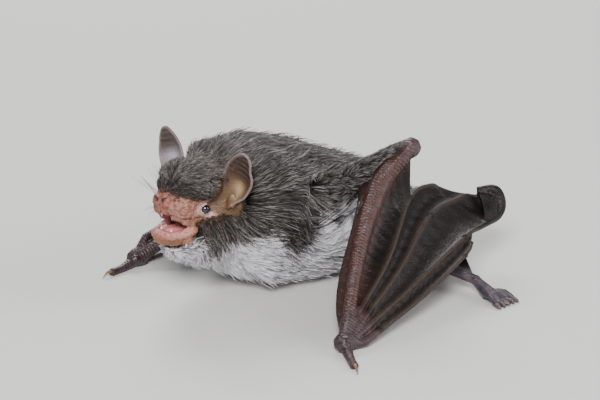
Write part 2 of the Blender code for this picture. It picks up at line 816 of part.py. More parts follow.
def add_head(model):
    """Eyes, teeth, tongue and jaw come first, and the skin is cut to them."""
    folder = model.folder
    for side, sign in SIDES.items():
        model.add(make_eye("eye_" + side, folder, sign), "eye")
    model.add(make_teeth("upper_teeth", folder, UPPER_BOW, -1), "tooth")
    model.add(make_teeth("lower_teeth", folder, LOWER_BOW, 1), "tooth")
    model.add(make_tongue(folder), "mouth_skin")
    model.add(make_jaw(folder), "face_skin")

    outline = make_outline(folder)
    turn = head_frame().to_3x3()
    parting = head_frame() @ Vector((HEAD_CUT, 0, 0))
    ahead = turn @ Vector((-1, 0, 0))
    head = half_of(outline, "head", folder, parting, ahead)
    back = half_of(outline, "trunk", folder, parting, -ahead)
    neck = half_of(back, "neck", folder, NECK_CUT, NECK_LEAN)
    trunk = half_of(back, "trunk_only", folder, NECK_CUT, -NECK_LEAN)
    bpy.data.objects.remove(outline)
    bpy.data.objects.remove(back)
    trunk.name = "trunk"
    mouth = make_mouth_cutter(folder)
    trimmed(thinned(head, 2400), [mouth])
    bpy.data.objects.remove(mouth)
    model.add(head, "face_skin")
    model.add(thinned(neck, 400), "dark_fur")
    model.add(thinned(trunk, 1200), "dark_fur")
    for side, sign in SIDES.items():
        model.add(make_ear("ear_" + side, folder, sign), "ear_skin")
        model.add(make_tragus("tragus_" + side, folder, sign), "ear_skin")


def add_leg(model, side):
    folder = model.folder
    hip, knee, ankle = HIP[side], KNEE[side], ANKLE[side]
    thigh = make_bone("thigh_" + side, folder, (hip, hip.lerp(knee, 0.5), knee), (2.8, 2.4, 1.7))
    model.add(thigh, "dark_fur")
    shank = make_bone("shank_" + side, folder, (knee, knee.lerp(ankle, 0.5), ankle), (1.2, 1.0, 0.75))
    model.add(shank, "foot_skin")
    model.add(make_foot("foot_" + side, folder, side), "foot_skin")


def propatagium_edge(side, shares):
    """The free front edge of the skin that fills the crook of the elbow."""
    elbow, wrist, shoulder = ELBOW[side], WRIST[side], SHOULDER[side]
    chord = wrist - elbow
    inward = shoulder - elbow
    aside = inward - chord * (inward.dot(chord) / chord.length_squared)
    along = inward.dot(chord) / chord.length
    rise = aside.length / along * chord.length
    edge = []
    for share, place in shares:
        width = min(rise * share, 1.9 + FOREARM_BOW[side] + 5.0 * (1 - share) ** 5)
        width *= 1 - share**6
        edge.append(place + aside.normalized() * width)
    return edge


def add_wing(model, side, sign):
    folder = model.folder
    fingers = FINGERS[side]
    model.add(make_upper_arm("upper_arm_" + side, folder, side), "arm_skin")
    model.add(make_forearm("forearm_" + side, folder, side), "arm_skin")
    model.add(make_thumb("thumb_" + side, folder, side), "arm_skin")
    model.add(make_thumb_claw("thumb_claw_" + side, folder, side), "claw")
    for number, path in fingers.items():
        bone = make_bone(f"finger_{number}_{side}", folder, path, FINGER_RADII[number])
        model.add(bone, "wing_skin")

    def panel(name, near, far, clear, sag, columns=3):
        made = make_panel(f"{name}_{side}", folder, near, far, clear, sag, columns)
        model.add(made, "wing_skin")

    shares = [0.08 + 0.8 * i / 8 for i in range(9)]
    places = [ELBOW[side].lerp(WRIST[side], share) for share in shares]
    along = points_along(forearm_path(side), shares[0], shares[-1], 9)
    edge = propatagium_edge(side, list(zip(shares, places)))
    panel("propatagium", along, edge, (1.2, 0), 0.3)
    fifth = [Vector(p) for p in fingers[5]]
    knuckle = fifth[2]
    arm = points_along(forearm_path(side)[::-1], 0.15, 0.96, 10)
    panel("membrane_arm", arm, points_along(fifth[:3], 0.15, 1.0, 10), (1.6, 1.1), sign * 0.8, 4)
    for near, far in ((5, 4), (4, 3), (3, 2)):
        last = MEMBRANE_ENDS[side]
        bones = fingers[near][:3] if far == 2 else fingers[near]
        a = points_along(bones, 0.16, 1.0 if far == 2 else last[near], 11)
        b = points_along(fingers[far], 0.16, last[far], 11)
        clear = (FINGER_RADII[near][0] + 0.25, FINGER_RADII[far][0] + 0.25)
        panel(f"membrane_{near}_{far}", a, b, clear, sign * 0.5)
    outer = [ELBOW[side], knuckle + (ELBOW[side] - knuckle) * 0.4, *fifth[3:]]
    outer += [Vector((21.6, sign * 15.0, 7.0)), ANKLE[side]]
    shift = Vector((0.9, -1.2 * sign, 0))
    outer = [point + shift for point in outer]
    inner = [
        SHOULDER[side].lerp(ELBOW[side], 0.8),
        SHOULDER[side].lerp(ELBOW[side], 0.5),
        Vector((9.5, sign * 8.0, 12.5)),
        Vector((14.5, sign * 6.0, 10.0)),
        KNEE[side].lerp(ANKLE[side], 0.3),
        KNEE[side].lerp(ANKLE[side], 0.7),
    ]
    flank = points_along(outer, 0.03, 0.95, 11), points_along(inner, 0, 1, 11)
    panel("membrane_flank", *flank, (0.0, 0.0), 0.4, 4)


def add_tail(model):
    folder = model.folder
    model.add(make_bone("tail", folder, TAIL_PATH, (0.95, 0.7, 0.55, 0.45)), "foot_skin")
    for side, sign in SIDES.items():
        spur = Vector((24.2, sign * 12.0, 1.0))
        outer = [KNEE[side].lerp(ANKLE[side], 0.3), KNEE[side].lerp(ANKLE[side], 0.85), spur]
        near = points_along(outer, 0, 1, 8)
        far = points_along(TAIL_PATH, 0.05, 0.62, 8)
        name = "tail_membrane_" + side
        skin = make_panel(name, folder, near, far, (0.8, 1.1), 0.5 * sign, 4)
        model.add(skin, "wing_skin")


def main():
    clear_scene()
    model = Model()
    add_head(model)
    for side in SIDES:
        add_leg(model, side)
    for side, sign in SIDES.items():
        add_wing(model, side, sign)
    add_tail(model)
    model.clear_cutters()


main()
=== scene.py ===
"""Dresses the crouched Daubenton's bat.

One skin stands for all the flesh, a coat of solid tufts lies over it, and the eyes, teeth,
claws, tongue and whiskers are pieces of their own. Sizes written as mm() are millimetres.
"""

import math

import bmesh
import bpy
import numpy as np
from mathutils import Matrix, Vector
from mathutils.bvhtree import BVHTree
from mathutils.kdtree import KDTree


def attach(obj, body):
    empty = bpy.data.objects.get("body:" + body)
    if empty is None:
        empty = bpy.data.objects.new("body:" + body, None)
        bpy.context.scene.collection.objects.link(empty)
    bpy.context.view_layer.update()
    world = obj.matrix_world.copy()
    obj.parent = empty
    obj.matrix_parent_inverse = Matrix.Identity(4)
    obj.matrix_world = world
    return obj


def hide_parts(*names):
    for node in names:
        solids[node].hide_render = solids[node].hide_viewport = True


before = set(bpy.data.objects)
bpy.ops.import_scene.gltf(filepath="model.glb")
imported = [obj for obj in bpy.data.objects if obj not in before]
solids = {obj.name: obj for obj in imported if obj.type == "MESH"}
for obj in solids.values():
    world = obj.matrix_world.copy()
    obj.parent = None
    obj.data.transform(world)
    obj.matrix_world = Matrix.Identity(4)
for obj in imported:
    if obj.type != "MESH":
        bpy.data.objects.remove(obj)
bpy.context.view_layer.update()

MM = 0.001
SKIN_GRAIN = 0.165  # voxel size of the finished skin
SKIN_TRIANGLES = 190000
BODY_GRAIN = 0.3  # voxel size of the body under the coat
CLOSE = 0.17  # how far a solid grows so that its narrow gaps to its neighbours close
WING_SKIN = 0.5
BLEND = 0.14  # how far the colours of neighbouring parts run into each other
REACH = 6.0  # how far from a part its own colour is looked for
CLUMP = 14  # tufts drawn together
PIECE_TUFTS = 11500  # the most tufts in one piece of the coat
PATCH = 0.003  # a tuft's width and height on the baking map
TUFTS = {"trunk": 52000, "head": 36000}

SIDES = {"left": -1.0, "right": 1.0}
BOTH = ("left", "right")


def mm(x, y, z):
    return Vector((x, y, z)) * MM


# ---- the frame of the head and the places of the limbs, as in the solids ----

HEAD_TURN = math.radians(16.5)
HEAD_RAISE = math.radians(15.0)
HEAD = (
    Matrix.Translation(mm(-16.6, 0, 14.6))
    @ Matrix.Rotation(HEAD_TURN, 4, "Z")
    @ Matrix.Rotation(HEAD_RAISE, 4, "Y")
)
EYE = (-7.3, 3.85, 0.4)
EYE_RADIUS = 0.86
EYE_FACING = Vector((-0.42, 0.9, 0.12)).normalized()
EAR_ROOT = Vector((-3.9, 6.0, 1.7))
EAR_TIP = {-1.0: Vector((-5.7, 9.2, 10.8)), 1.0: Vector((-6.3, 9.7, 11.5))}
EAR_OUTWARD = math.radians(10.0)
EAR_WIDTH = {-1.0: 5.9, 1.0: 6.5}
EAR_FOLDS = 11
UPPER_BOW = ((-9.2, 2.1, -1.7), (-10.6, 1.75, -1.45), (-12.0, 1.2, -1.2), (-12.9, 0.0, -1.0))
UPPER_LIP = (
    (-13.3, 0.3, -0.75), (-12.6, 1.35, -1.25), (-11.2, 2.15, -1.75), (-9.6, 2.85, -2.2), (-8.5, 3.15, -2.75)
)
LOWER_BOW = ((-9.0, 2.15, -3.9), (-10.6, 1.7, -4.35), (-11.9, 1.0, -4.6), (-12.5, 0.0, -4.5))

SHOULDER = {"left": mm(-6.0, -8.0, 14.5), "right": mm(-6.0, 8.0, 13.5)}
ELBOW = {"left": mm(11.3, -16.0, 25.0), "right": mm(10.5, 18.6, 14.0)}
WRIST = {"left": mm(-12.4, -34.2, 1.5), "right": mm(-25.0, 15.4, 1.5)}
THUMB_TIP = {"left": mm(-15.2, -42.8, 0.5), "right": mm(-32.6, 13.0, 0.5)}
KNEE = {"left": mm(12.6, -12.4, 5.6), "right": mm(13.4, 12.6, 5.6)}
ANKLE = {"left": mm(19.4, -24.4, 2.4), "right": mm(21.6, 22.6, 2.4)}
TOES = {"left": mm(20.9, -31.6, 0.55), "right": mm(27.6, 27.4, 0.55)}
FOREARM_BOW = {"left": 3.6, "right": 1.2}
FINGER_RADII = {2: (0.42, 0.3), 3: (0.5, 0.44, 0.4, 0.5, 0.8, 1.0, 0.7), 4: (0.42, 0.3), 5: (0.42, 0.3)}
PANEL_ENDS = {"left": {5: 1.0, 4: 1.0, 3: 0.97, 2: 0.97}, "right": {5: 1.0, 4: 1.0, 3: 1.0, 2: 0.98}}
TAIL_PATH = ((21.5, 0, 5.6), (25.2, 0, 4.6), (27.6, 0, 2.2), (26.4, 0, 0.6), (22.0, 0, 0.4))

# Base at the wrist, knuckles and tip of each finger.
FINGERS = {
    "left": {
        2: ((-9.0, -34.7, 1.1), (5.3, -29.9, 4.4), (16.9, -24.6, 7.4), (19.9, -22.4, 8.5)),
        3: ((-9.3, -33.7, 2.2), (4.6, -28.0, 5.8), (18.9, -21.4, 9.2), (24.6, -18.2, 9.0),
            (30.6, -14.6, 8.6), (32.0, -13.6, 10.6), (31.4, -12.2, 12.6), (28.8, -10.6, 12.5)),
        4: ((-9.3, -32.9, 3.0), (3.2, -25.6, 7.9), (14.7, -17.0, 12.5), (23.4, -12.0, 12.2),
            (27.6, -9.6, 11.6), (29.0, -8.0, 9.8)),
        5: ((-9.5, -32.0, 3.9), (1.6, -24.6, 9.4), (11.4, -15.9, 15.9), (18.6, -11.4, 15.6),
            (22.4, -9.0, 13.2)),
    },
    "right": {
        2: ((-21.8, 18.4, 0.9), (-7.0, 23.6, 2.0), (7.0, 26.7, 3.4), (10.2, 26.6, 4.8)),
        3: ((-22.0, 18.2, 2.1), (-6.0, 23.4, 4.2), (10.0, 26.2, 5.8), (21.6, 24.0, 6.4),
            (28.0, 20.0, 6.2), (25.8, 17.2, 6.0)),
        4: ((-22.2, 17.6, 3.3), (-6.5, 22.4, 6.2), (9.2, 25.2, 8.6), (18.0, 21.4, 9.2),
            (23.2, 16.2, 8.6)),
        5: ((-22.4, 17.0, 4.4), (-7.0, 21.2, 8.2), (8.2, 23.6, 11.2), (16.2, 19.8, 12.0),
            (20.6, 14.4, 11.0)),
    },
}


def pairs(*parts):
    """The names of solids that come once on each side."""
    return [f"{part}_{side}" for part in parts for side in BOTH]


COAT_NODES = ["head", "neck", "trunk", *pairs("thigh")]
ARM_NODES = pairs("forearm", "thumb")
UPPER_NODES = pairs("upper_arm")
FOOT_NODES = [*pairs("shank", "foot"), "tail"]
EAR_NODES = pairs("ear", "tragus")
BONE_NODES = pairs("finger_2", "finger_3", "finger_4", "finger_5")
PANEL_NODES = ["membrane_" + part for part in ("arm", "5_4", "4_3", "3_2", "flank")]
SHEET_NODES = pairs("propatagium", *PANEL_NODES, "tail_membrane")


def sided(place, sign):
    """A place given for the right side, there (sign 1) or mirrored to the left (sign -1)."""
    return Vector((place[0], sign * place[1], place[2]))


def in_frame(points, place):
    """World points, in metres, as millimetres in a frame of their own."""
    back = np.array(place.inverted())
    return (points @ back[:3, :3].T + back[:3, 3]) / MM


def head_point(x, y, z):
    return HEAD @ mm(x, y, z)


def head_local(points):
    return in_frame(points, HEAD)


# ---- small helpers ----


def linear(red, green, blue):
    """A colour given as 0 to 255 screen values, as scene values."""
    return np.array([(value / 255.0) ** 2.2 for value in (red, green, blue)])


def ease(low, high, value):
    """0 below low, 1 above high, and a smooth climb between."""
    share = np.clip((value - low) / (high - low), 0.0, 1.0)
    return share * share * (3 - 2 * share)


def mix(first, second, share):
    return first + (second - first) * share[..., None]


def waves(points, size, seed):
    """Smooth noise between about -1 and 1, with lumps of this size in millimetres."""
    count = 7
    rng = np.random.default_rng(seed)
    turns = rng.normal(size=(count, 3))
    turns *= 2 * math.pi / (size * MM) / np.linalg.norm(turns, axis=1)[:, None]
    turns *= rng.uniform(0.6, 1.5, (count, 1))
    phases = rng.uniform(0, 2 * math.pi, count)
    return np.sin(points @ turns.T + phases).sum(1) / math.sqrt(count) / 1.1


def unit(vectors):
    return vectors / np.maximum(np.linalg.norm(vectors, axis=1), 1e-12)[:, None]


def smooth_path(points, steps):
    """Points along a smooth curve through the given ones, with steps to each stretch."""
    points = [Vector(p) for p in points]
    ends = [points[0] * 2 - points[1], *points, points[-1] * 2 - points[-2]]
    path = []
    for a, b, c, d in zip(ends, ends[1:], ends[2:], ends[3:]):
        for step in range(steps):
            t = step / steps
            bend = 2 * b + (c - a) * t + (2 * a - 5 * b + 4 * c - d) * t * t
            path.append(0.5 * (bend + (3 * b - a - 3 * c + d) * t**3))
    path.append(points[-1])
    return path


def points_along(path, first, last, count):
    """Evenly spaced points along a path, between two shares of its length."""
    lengths = [(b - a).length for a, b in zip(path, path[1:])]
    made = []
    for step in range(count):
        left = sum(lengths) * (first + (last - first) * step / (count - 1))
        for index, length in enumerate(lengths):
            if left <= length or index == len(lengths) - 1:
                made.append(path[index].lerp(path[index + 1], left / length))
                break
            left -= length
    return made


def finger_path(side, number):
    return [mm(*point) for point in FINGERS[side][number]]


def linked(name, data):
    """Puts an object with this data into the scene."""
    made = bpy.data.objects.new(name, data)
    bpy.context.scene.collection.objects.link(made)
    return made


def piece(bm, name):
    """Puts a finished bmesh into the scene."""
    mesh = bpy.data.meshes.new(name)
    bm.to_mesh(mesh)
    bm.free()
    return linked(name, mesh)


def applied(obj):
    """Replaces an object's mesh by what its modifiers make of it."""
    bpy.context.view_layer.update()
    graph = bpy.context.evaluated_depsgraph_get()
    mesh = bpy.data.meshes.new_from_object(obj.evaluated_get(graph))
    obj.modifiers.clear()
    obj.data = mesh
    return obj


def melted(obj, grain):
    """Fuses a mesh's overlapping forms into one closed skin."""
    melt = obj.modifiers.new("melt", "REMESH")
    melt.mode = "VOXEL"
    melt.voxel_size = grain * MM
    return applied(obj)


def column(items, name, width, kind=float):
    """One property of all of a mesh's items, as the rows of an array."""
    values = np.empty(len(items) * width, kind)
    items.foreach_get(name, values)
    return values.reshape(-1, width)


def point_rows(mesh):
    return column(mesh.vertices, "co", 3)


def arrays(mesh):
    """A mesh's points, their normals and its edges."""
    normals = column(mesh.vertex_normals, "vector", 3)
    return point_rows(mesh), normals, column(mesh.edges, "vertices", 2, np.int32)


def move_points(mesh, points):
    mesh.vertices.foreach_set("co", np.ascontiguousarray(points, np.float32).ravel())
    mesh.update()


def neighbours_mean(values, edges):
    """For each point, the mean of a value over the points that share an edge with it."""
    count = np.bincount(edges.ravel(), minlength=len(values))
    total = np.empty_like(values)
    for column in range(values.shape[1]):
        ends = np.concatenate([values[edges[:, 1], column], values[edges[:, 0], column]])
        both = np.concatenate([edges[:, 0], edges[:, 1]])
        total[:, column] = np.bincount(both, weights=ends, minlength=len(values))
    return total / np.maximum(count, 1)[:, None]


def smoothed(values, edges, rounds):
    for _ in range(rounds):
        values = 0.5 * values + 0.5 * neighbours_mean(values, edges)
    return values


def layered(base, *layers):
    """A colour under others, each laid over the ones before by its own share."""
    for colour, share in layers:
        base = mix(base, linear(*colour), share)
    return base


def smooth_form(mesh, rounds):
    """Smooths a mesh without shrinking it."""
    points, _, edges = arrays(mesh)
    for _ in range(rounds):
        for amount in (0.5, -0.53):
            points = points + amount * (neighbours_mean(points, edges) - points)
    move_points(mesh, points)


def store(mesh, name, values, kind="FLOAT", field="value"):
    """Stores a value for each point of a mesh."""
    layer = mesh.attributes.new(name, kind, "POINT")
    layer.data.foreach_set(field, np.ascontiguousarray(values, np.float32).ravel())


def store_colours(mesh, colours):
    full = np.ones((len(colours), 4))
    full[:, :3] = np.clip(colours, 0, 1)
    store(mesh, "tone", full, "FLOAT_COLOR", "color")


def copied(names, grow):
    """Copies of solids as one mesh, each grown along its normals."""
    bm = bmesh.new()
    for name in names:
        bm.from_mesh(solids[name].data)
    bmesh.ops.remove_doubles(bm, verts=bm.verts, dist=1e-6)
    bm.normal_update()
    moves = [(vert, vert.normal * min(vert.calc_shell_factor(), 1.6) * grow * MM) for vert in bm.verts]
    for vert, move in moves:
        vert.co += move
    return bm


def take_in(bm, other):
    """Adds another bmesh to this one, and frees it."""
    carrier = bpy.data.meshes.new("carrier")
    other.to_mesh(carrier)
    other.free()
    bm.from_mesh(carrier)
    bpy.data.meshes.remove(carrier)


def loaded(mesh):
    bm = bmesh.new()
    bm.from_mesh(mesh)
    return bm


def surface_tree(bm):
    """Finds the nearest place on a bmesh, which it frees."""
    tree = BVHTree.FromBMesh(bm)
    bm.free()
    return tree


def point_tree(points):
    """Finds the nearest of some points."""
    tree = KDTree(len(points))
    for index, point in enumerate(points):
        tree.insert(point, index)
    tree.balance()
    return tree


def add_ball(bm, centre, radii, segments=20, rings=14):
    place = Matrix.Translation(centre) @ Matrix.Diagonal((*[radius * MM for radius in radii], 1.0))
    ball = bmesh.new()
    bmesh.ops.create_uvsphere(ball, u_segments=segments, v_segments=rings, radius=1.0, matrix=place)
    take_in(bm, ball)


def add_tube(bm, path, radii, sides):
    """A closed tube along a path, its radii in millimetres spread evenly along it."""
    tube = bmesh.new()
    rings = []
    aside = None
    for index, point in enumerate(path):
        ahead = (path[min(index + 1, len(path) - 1)] - path[max(index - 1, 0)]).normalized()
        if aside is None:
            aside = ahead.orthogonal().normalized()
        aside = (aside - ahead * aside.dot(ahead)).normalized()
        place = index / (len(path) - 1) * (len(radii) - 1)
        low = min(int(place), len(radii) - 2)
        radius = (radii[low] + (radii[low + 1] - radii[low]) * (place - low)) * MM
        made = bmesh.ops.create_circle(tube, segments=sides, radius=radius)
        upward = ahead.cross(aside)
        for vert in made["verts"]:
            vert.co = point + aside * vert.co.x + upward * vert.co.y
        rings.append(list({edge for vert in made["verts"] for edge in vert.link_edges}))
    for near, far in zip(rings, rings[1:]):
        bmesh.ops.bridge_loops(tube, edges=near + far)
    bmesh.ops.holes_fill(tube, edges=rings[0] + rings[-1], sides=0)
    bmesh.ops.recalc_face_normals(tube, faces=tube.faces)
    take_in(bm, tube)


def add_sheet(bm, rows, thickness=WING_SKIN):
    """A sheet through rows of points, given a thickness about its middle."""
    sheet = bmesh.new()
    across = len(rows[0])
    made = bmesh.ops.create_grid(sheet, x_segments=across - 1, y_segments=len(rows) - 1, size=1.0)
    for vert in made["verts"]:
        column = round((vert.co.x + 1) / 2 * (across - 1))
        row = round((vert.co.y + 1) / 2 * (len(rows) - 1))
        vert.co = rows[row][column]
    bmesh.ops.recalc_face_normals(sheet, faces=sheet.faces)
    holder = piece(sheet, "sheet")
    thick = holder.modifiers.new("thick", "SOLIDIFY")
    thick.thickness = thickness * MM
    thick.offset = 0.0
    applied(holder)
    bm.from_mesh(holder.data)
    bpy.data.objects.remove(holder)


# ---- where the skin is bare, and how deep the coat is ----


def bareness(points, spread=0.25):
    """1 on the bare skin of the muzzle, the lips and round the eyes, and 0 under the coat."""
    x, y, z = head_local(points).T
    y = np.abs(y)
    top = np.interp(x, (-15.2, -12.6, -9.9, -8.0, -6.4), (2.2, 2.4, 1.8, 2.2, 1.7))
    back = np.interp(
        z,
        (-3.6, -2.4, -1.2, -0.5, 0.4, 1.2, 1.9, 2.6),
        (-8.6, -8.2, -7.2, -5.9, -5.0, -5.2, -6.6, -9.0),
    )
    ragged = 0.24 * waves(points, 1.1, 3) + 0.14 * waves(points, 0.5, 4)
    muzzle = ease(-spread, 0.3, back - x + ragged) * ease(-spread, 0.3, top - z + ragged)
    bottom = np.interp(x, (-13.6, -11.0, -9.0, -8.0), (-5.5, -5.9, -5.6, -5.0))
    tight = min(spread, 0.5)
    jaw = ease(-tight, 0.35, z - bottom + ragged) * ease(-tight, 0.4, -8.4 - x + ragged)
    jaw = jaw * ease(-2.2, -2.9, z)
    middle = np.interp(x, (-6.5, -5.0, -3.5), (0.7, 1.3, 1.9))
    strip = ease(-6.6, -5.8, x) * ease(0.95, 0.5, np.abs(z - middle)) * ease(3.8, 4.3, y)
    strip = strip * ease(-2.9, -3.6, x)
    return np.maximum.reduce([muzzle * ease(-3.9, -3.3, z), jaw, strip])


def ear_local(points, sign):
    """Points in an ear's own frame, in millimetres: back, outwards and up from its root."""
    return in_frame(points, ear_frame(sign))


def at_ears(points, share):
    """The larger share that a rule gives a point for either ear, in the ear's own frame."""
    return np.maximum(*[share(*ear_local(points, sign).T) for sign in SIDES.values()])


def before_ear(points, lift=0.0):
    """1 in the mouth of either ear and just before it, where the coat is short."""

    def share(x, y, z):
        near = ease(3.4, 2.2, np.abs(y)) * ease(1.2, 0.2, x) * ease(-4.0, -2.8, x)
        return near * ease(-2.4, -1.2, z - lift)

    return at_ears(points, share)


def inside_ear(points):
    """1 in the funnel of either ear, where hairs are too short to see."""
    return at_ears(points, lambda x, y, z: 1.0 * ((np.abs(x) < 1.3) & (np.abs(y) < 2.6) & (z > 0.9)))


def coat_depth(points):
    """How deep the coat is, in millimetres, from the skin to the tips."""
    head_x = head_local(points)[:, 0]
    x, y, z = (points / MM).T
    on_head = ease(2.0, -4.0, head_x)
    depth = 1.75 - 0.5 * on_head - 0.6 * on_head * ease(-5.0, -13.0, head_x)
    depth *= 1 - 0.45 * ease(4.5, 1.0, z) * ease(-20, -14, x)
    aside = ease(9.5, 11.5, np.abs(y))
    legs = aside * ease(8.0, 10.5, x)
    arms = aside * ease(-6.0, -4.0, x) * ease(9.0, 12.0, z) * (1 - 0.85 * whiteness(points))
    depth = depth * (1 - 0.45 * ease(15.0, 22.0, x)) * (1 - 0.5 * legs) * (1 - 0.72 * arms)
    return depth * (1 - 0.8 * before_ear(points)) * (1 - bareness(points, 2.3))


def make_body():
    """The skin of head, neck, trunk and thighs, inside the coat's outline by the coat's depth."""
    form = melted(piece(copied(COAT_NODES, CLOSE), "body"), BODY_GRAIN)
    smooth_form(form.data, 3)
    points, normals, edges = arrays(form.data)
    normals = unit(smoothed(normals, edges, 4))
    depth = smoothed(coat_depth(points)[:, None], edges, 4)
    move_points(form.data, points - normals * (depth + 0.6 * CLOSE) * MM)
    bm = loaded(form.data)
    bpy.data.objects.remove(form)
    return bm


# ---- forms of the skin ----


def ear_point(u, along, sign):
    """A point of the ear's sheet: u runs from the inner edge to the outer, along from the root."""
    width = EAR_WIDTH[sign] * (0.5 + 0.5 * math.sin(math.pi * max(along, 0.0) ** 1.15))
    width = max(width * max(1.0 - abs(along) ** 8, 0.0) ** 0.55, 0.9)
    bend = 2.4 - 1.2 * along
    angle = (u - 0.5) * bend
    aside = 0.5 * width * math.sin(angle) / math.sin(0.5 * bend)
    cup = (math.cos(angle) - 1.0) * 0.45 * width
    notch = (1.6 - 0.6 * sign) * max(0.0, u - 0.72) * math.exp(-(((along - 0.76) / 0.1) ** 2))
    notch += 1.9 * max(0.0, u - 0.4) * max(0.0, 1.0 - along / 0.28)
    sway = 0.9 * math.sin(math.pi * min(max(along, 0.0), 1.0))
    folds = max(0.0, min(1.0, (along - 0.4) / 0.15)) * max(0.0, 1.0 - abs(u - 0.62) / 0.3)
    ridge = 0.16 * math.sin(2 * math.pi * along * EAR_FOLDS) * folds
    length = (EAR_TIP[sign] - EAR_ROOT).length
    return Vector((cup + sway + ridge, sign * (aside - notch), length * along)) * MM


def ear_frame(sign):
    root, tip = sided(EAR_ROOT, sign), sided(EAR_TIP[sign], sign)
    facing = Vector((-math.cos(EAR_OUTWARD), sign * math.sin(EAR_OUTWARD), 0))
    upward = (tip - root).normalized()
    back = -(facing - upward * facing.dot(upward)).normalized()
    turn = Matrix((back, upward.cross(back), upward)).transposed().to_4x4()
    return HEAD @ Matrix.Translation(root * MM) @ turn


def ear_rim(sign, count):
    """Points along the free edge, up the inner side, over the tip and down the outer side."""
    rim = [ear_point(0.01, step / count, sign) for step in range(2, count)]
    rim += [ear_point(step / 6, 0.985, sign) for step in range(7)]
    return rim + [ear_point(0.99, step / count, sign) for step in range(count - 1, 1, -1)]


def add_ear(bm, sign):
    """The ear's funnel with its transverse folds, and a rim round its free edge."""
    place = ear_frame(sign)
    columns, rows = 26, 44
    grid = []
    for row in range(rows + 1):
        along = -0.06 + 1.05 * row / rows
        grid.append([place @ ear_point(column / columns, along, sign) for column in range(columns + 1)])
    add_sheet(bm, grid, 0.46)
    rim = [place @ point for point in ear_rim(sign, 24)]
    add_tube(bm, rim, (0.22, 0.24, 0.22, 0.24, 0.22), 8)


def add_lids(bm, sign):
    """Upper and lower lid over the eye, meeting at its two corners."""
    centre, facing = sided(EYE, sign), sided(EYE_FACING, sign)
    ahead = Vector((-1, 0, -0.18))
    ahead = (ahead - facing * ahead.dot(facing)).normalized()
    upward = facing.cross(ahead) * sign
    for lift, thick in ((1.2, 0.14), (-1.16, 0.13)):
        path = []
        for step in range(17):
            across = -1 + step / 8
            turn = across * math.radians(76)
            rise = lift * max(math.cos(across * math.pi / 2), 0.0) ** 0.6
            out = facing * math.cos(turn) * math.cos(rise) + ahead * math.sin(turn) + upward * math.sin(rise)
            path.append(HEAD @ ((centre + out.normalized() * (EYE_RADIUS + 0.01)) * MM))
        add_tube(bm, path, (thick * 0.7, thick, thick, thick * 0.7), 8)
    for turn in (-1, 1):
        corner = centre + (ahead * turn * 1.08 + facing * 0.25) * EYE_RADIUS
        add_ball(bm, HEAD @ (corner * MM), (0.26, 0.26, 0.22))
    add_ball(bm, HEAD @ (centre * MM), (EYE_RADIUS - 0.12,) * 3)


def add_muzzle(bm):
    """Nostril rims, the pads of the upper lip and the glandular swelling before each eye."""
    for sign in SIDES.values():
        for place, radii in (
            ((-14.2, 1.0, 1.35), (0.5, 0.5, 0.42)),
            ((-13.9, 1.35, 0.5), (0.5, 0.42, 0.5)),
            ((-11.0, 2.75, 0.9), (1.3, 0.75, 0.9)),
            ((-9.3, 3.1, -0.7), (1.3, 0.8, 0.95)),
        ):
            add_ball(bm, head_point(*sided(place, sign)), radii)
        lip = [head_point(*sided(point, sign)) for point in smooth_path(UPPER_LIP, 4)]
        add_tube(bm, lip, (0.42, 0.45, 0.42, 0.36), 10)


def add_gums(bm):
    for bow in (UPPER_BOW, LOWER_BOW):
        row = [sided(place, -1.0) for place in bow] + list(bow[-2::-1])
        path = [head_point(*point) for point in smooth_path(row, 4)]
        add_tube(bm, path, (0.34, 0.36, 0.34), 8)


def crook(side):
    """How the shoulder lies from the elbow: aside from the forearm's line, and along it."""
    chord = WRIST[side] - ELBOW[side]
    inward = SHOULDER[side] - ELBOW[side]
    return inward - chord * (inward.dot(chord) / chord.length_squared), inward.dot(chord) / chord.length


def forearm_path(side):
    """The forearm's axis from elbow to wrist, bowed towards the body."""
    elbow, wrist = ELBOW[side], WRIST[side]
    bow = crook(side)[0].normalized()
    path = []
    for step in range(17):
        share = step / 16
        swing = math.sin(math.pi * share**0.62) * FOREARM_BOW[side] * MM
        path.append(elbow.lerp(wrist, share) + bow * swing)
    return path


def propatagium_edge(side, shares):
    """The free front edge of the skin that fills the crook of the elbow."""
    elbow, wrist = ELBOW[side], WRIST[side]
    aside, along = crook(side)
    rise = aside.length / along * (wrist - elbow).length
    edge = []
    for share in shares:
        width = min(rise * share, (1.9 + FOREARM_BOW[side] + 5.0 * (1 - share) ** 5) * MM)
        edge.append(elbow.lerp(wrist, share) + aside.normalized() * width * (1 - share**6))
    return edge


def add_panel(bm, near, far, sag, columns=10):
    """Wing skin between two lines of points, sagging and finely gathered between them."""
    middle = len(near) // 2
    facing = (near[-1] - near[0]).cross(far[middle] - near[middle]).normalized()
    rows = []
    for index, (a, b) in enumerate(zip(near, far)):
        dip = sag * MM * min(1.0, (b - a).length / (6.0 * MM), (len(near) - 1 - index) / 9)
        row = []
        for column in range(columns + 1):
            share = column / columns
            bulge = math.sin(math.pi * share)
            gather = 0.11 * MM * math.sin(index * 1.9 + share * 3) * bulge
            row.append(a.lerp(b, share) + facing * (dip * bulge + gather))
        rows.append(row)
    add_sheet(bm, rows)


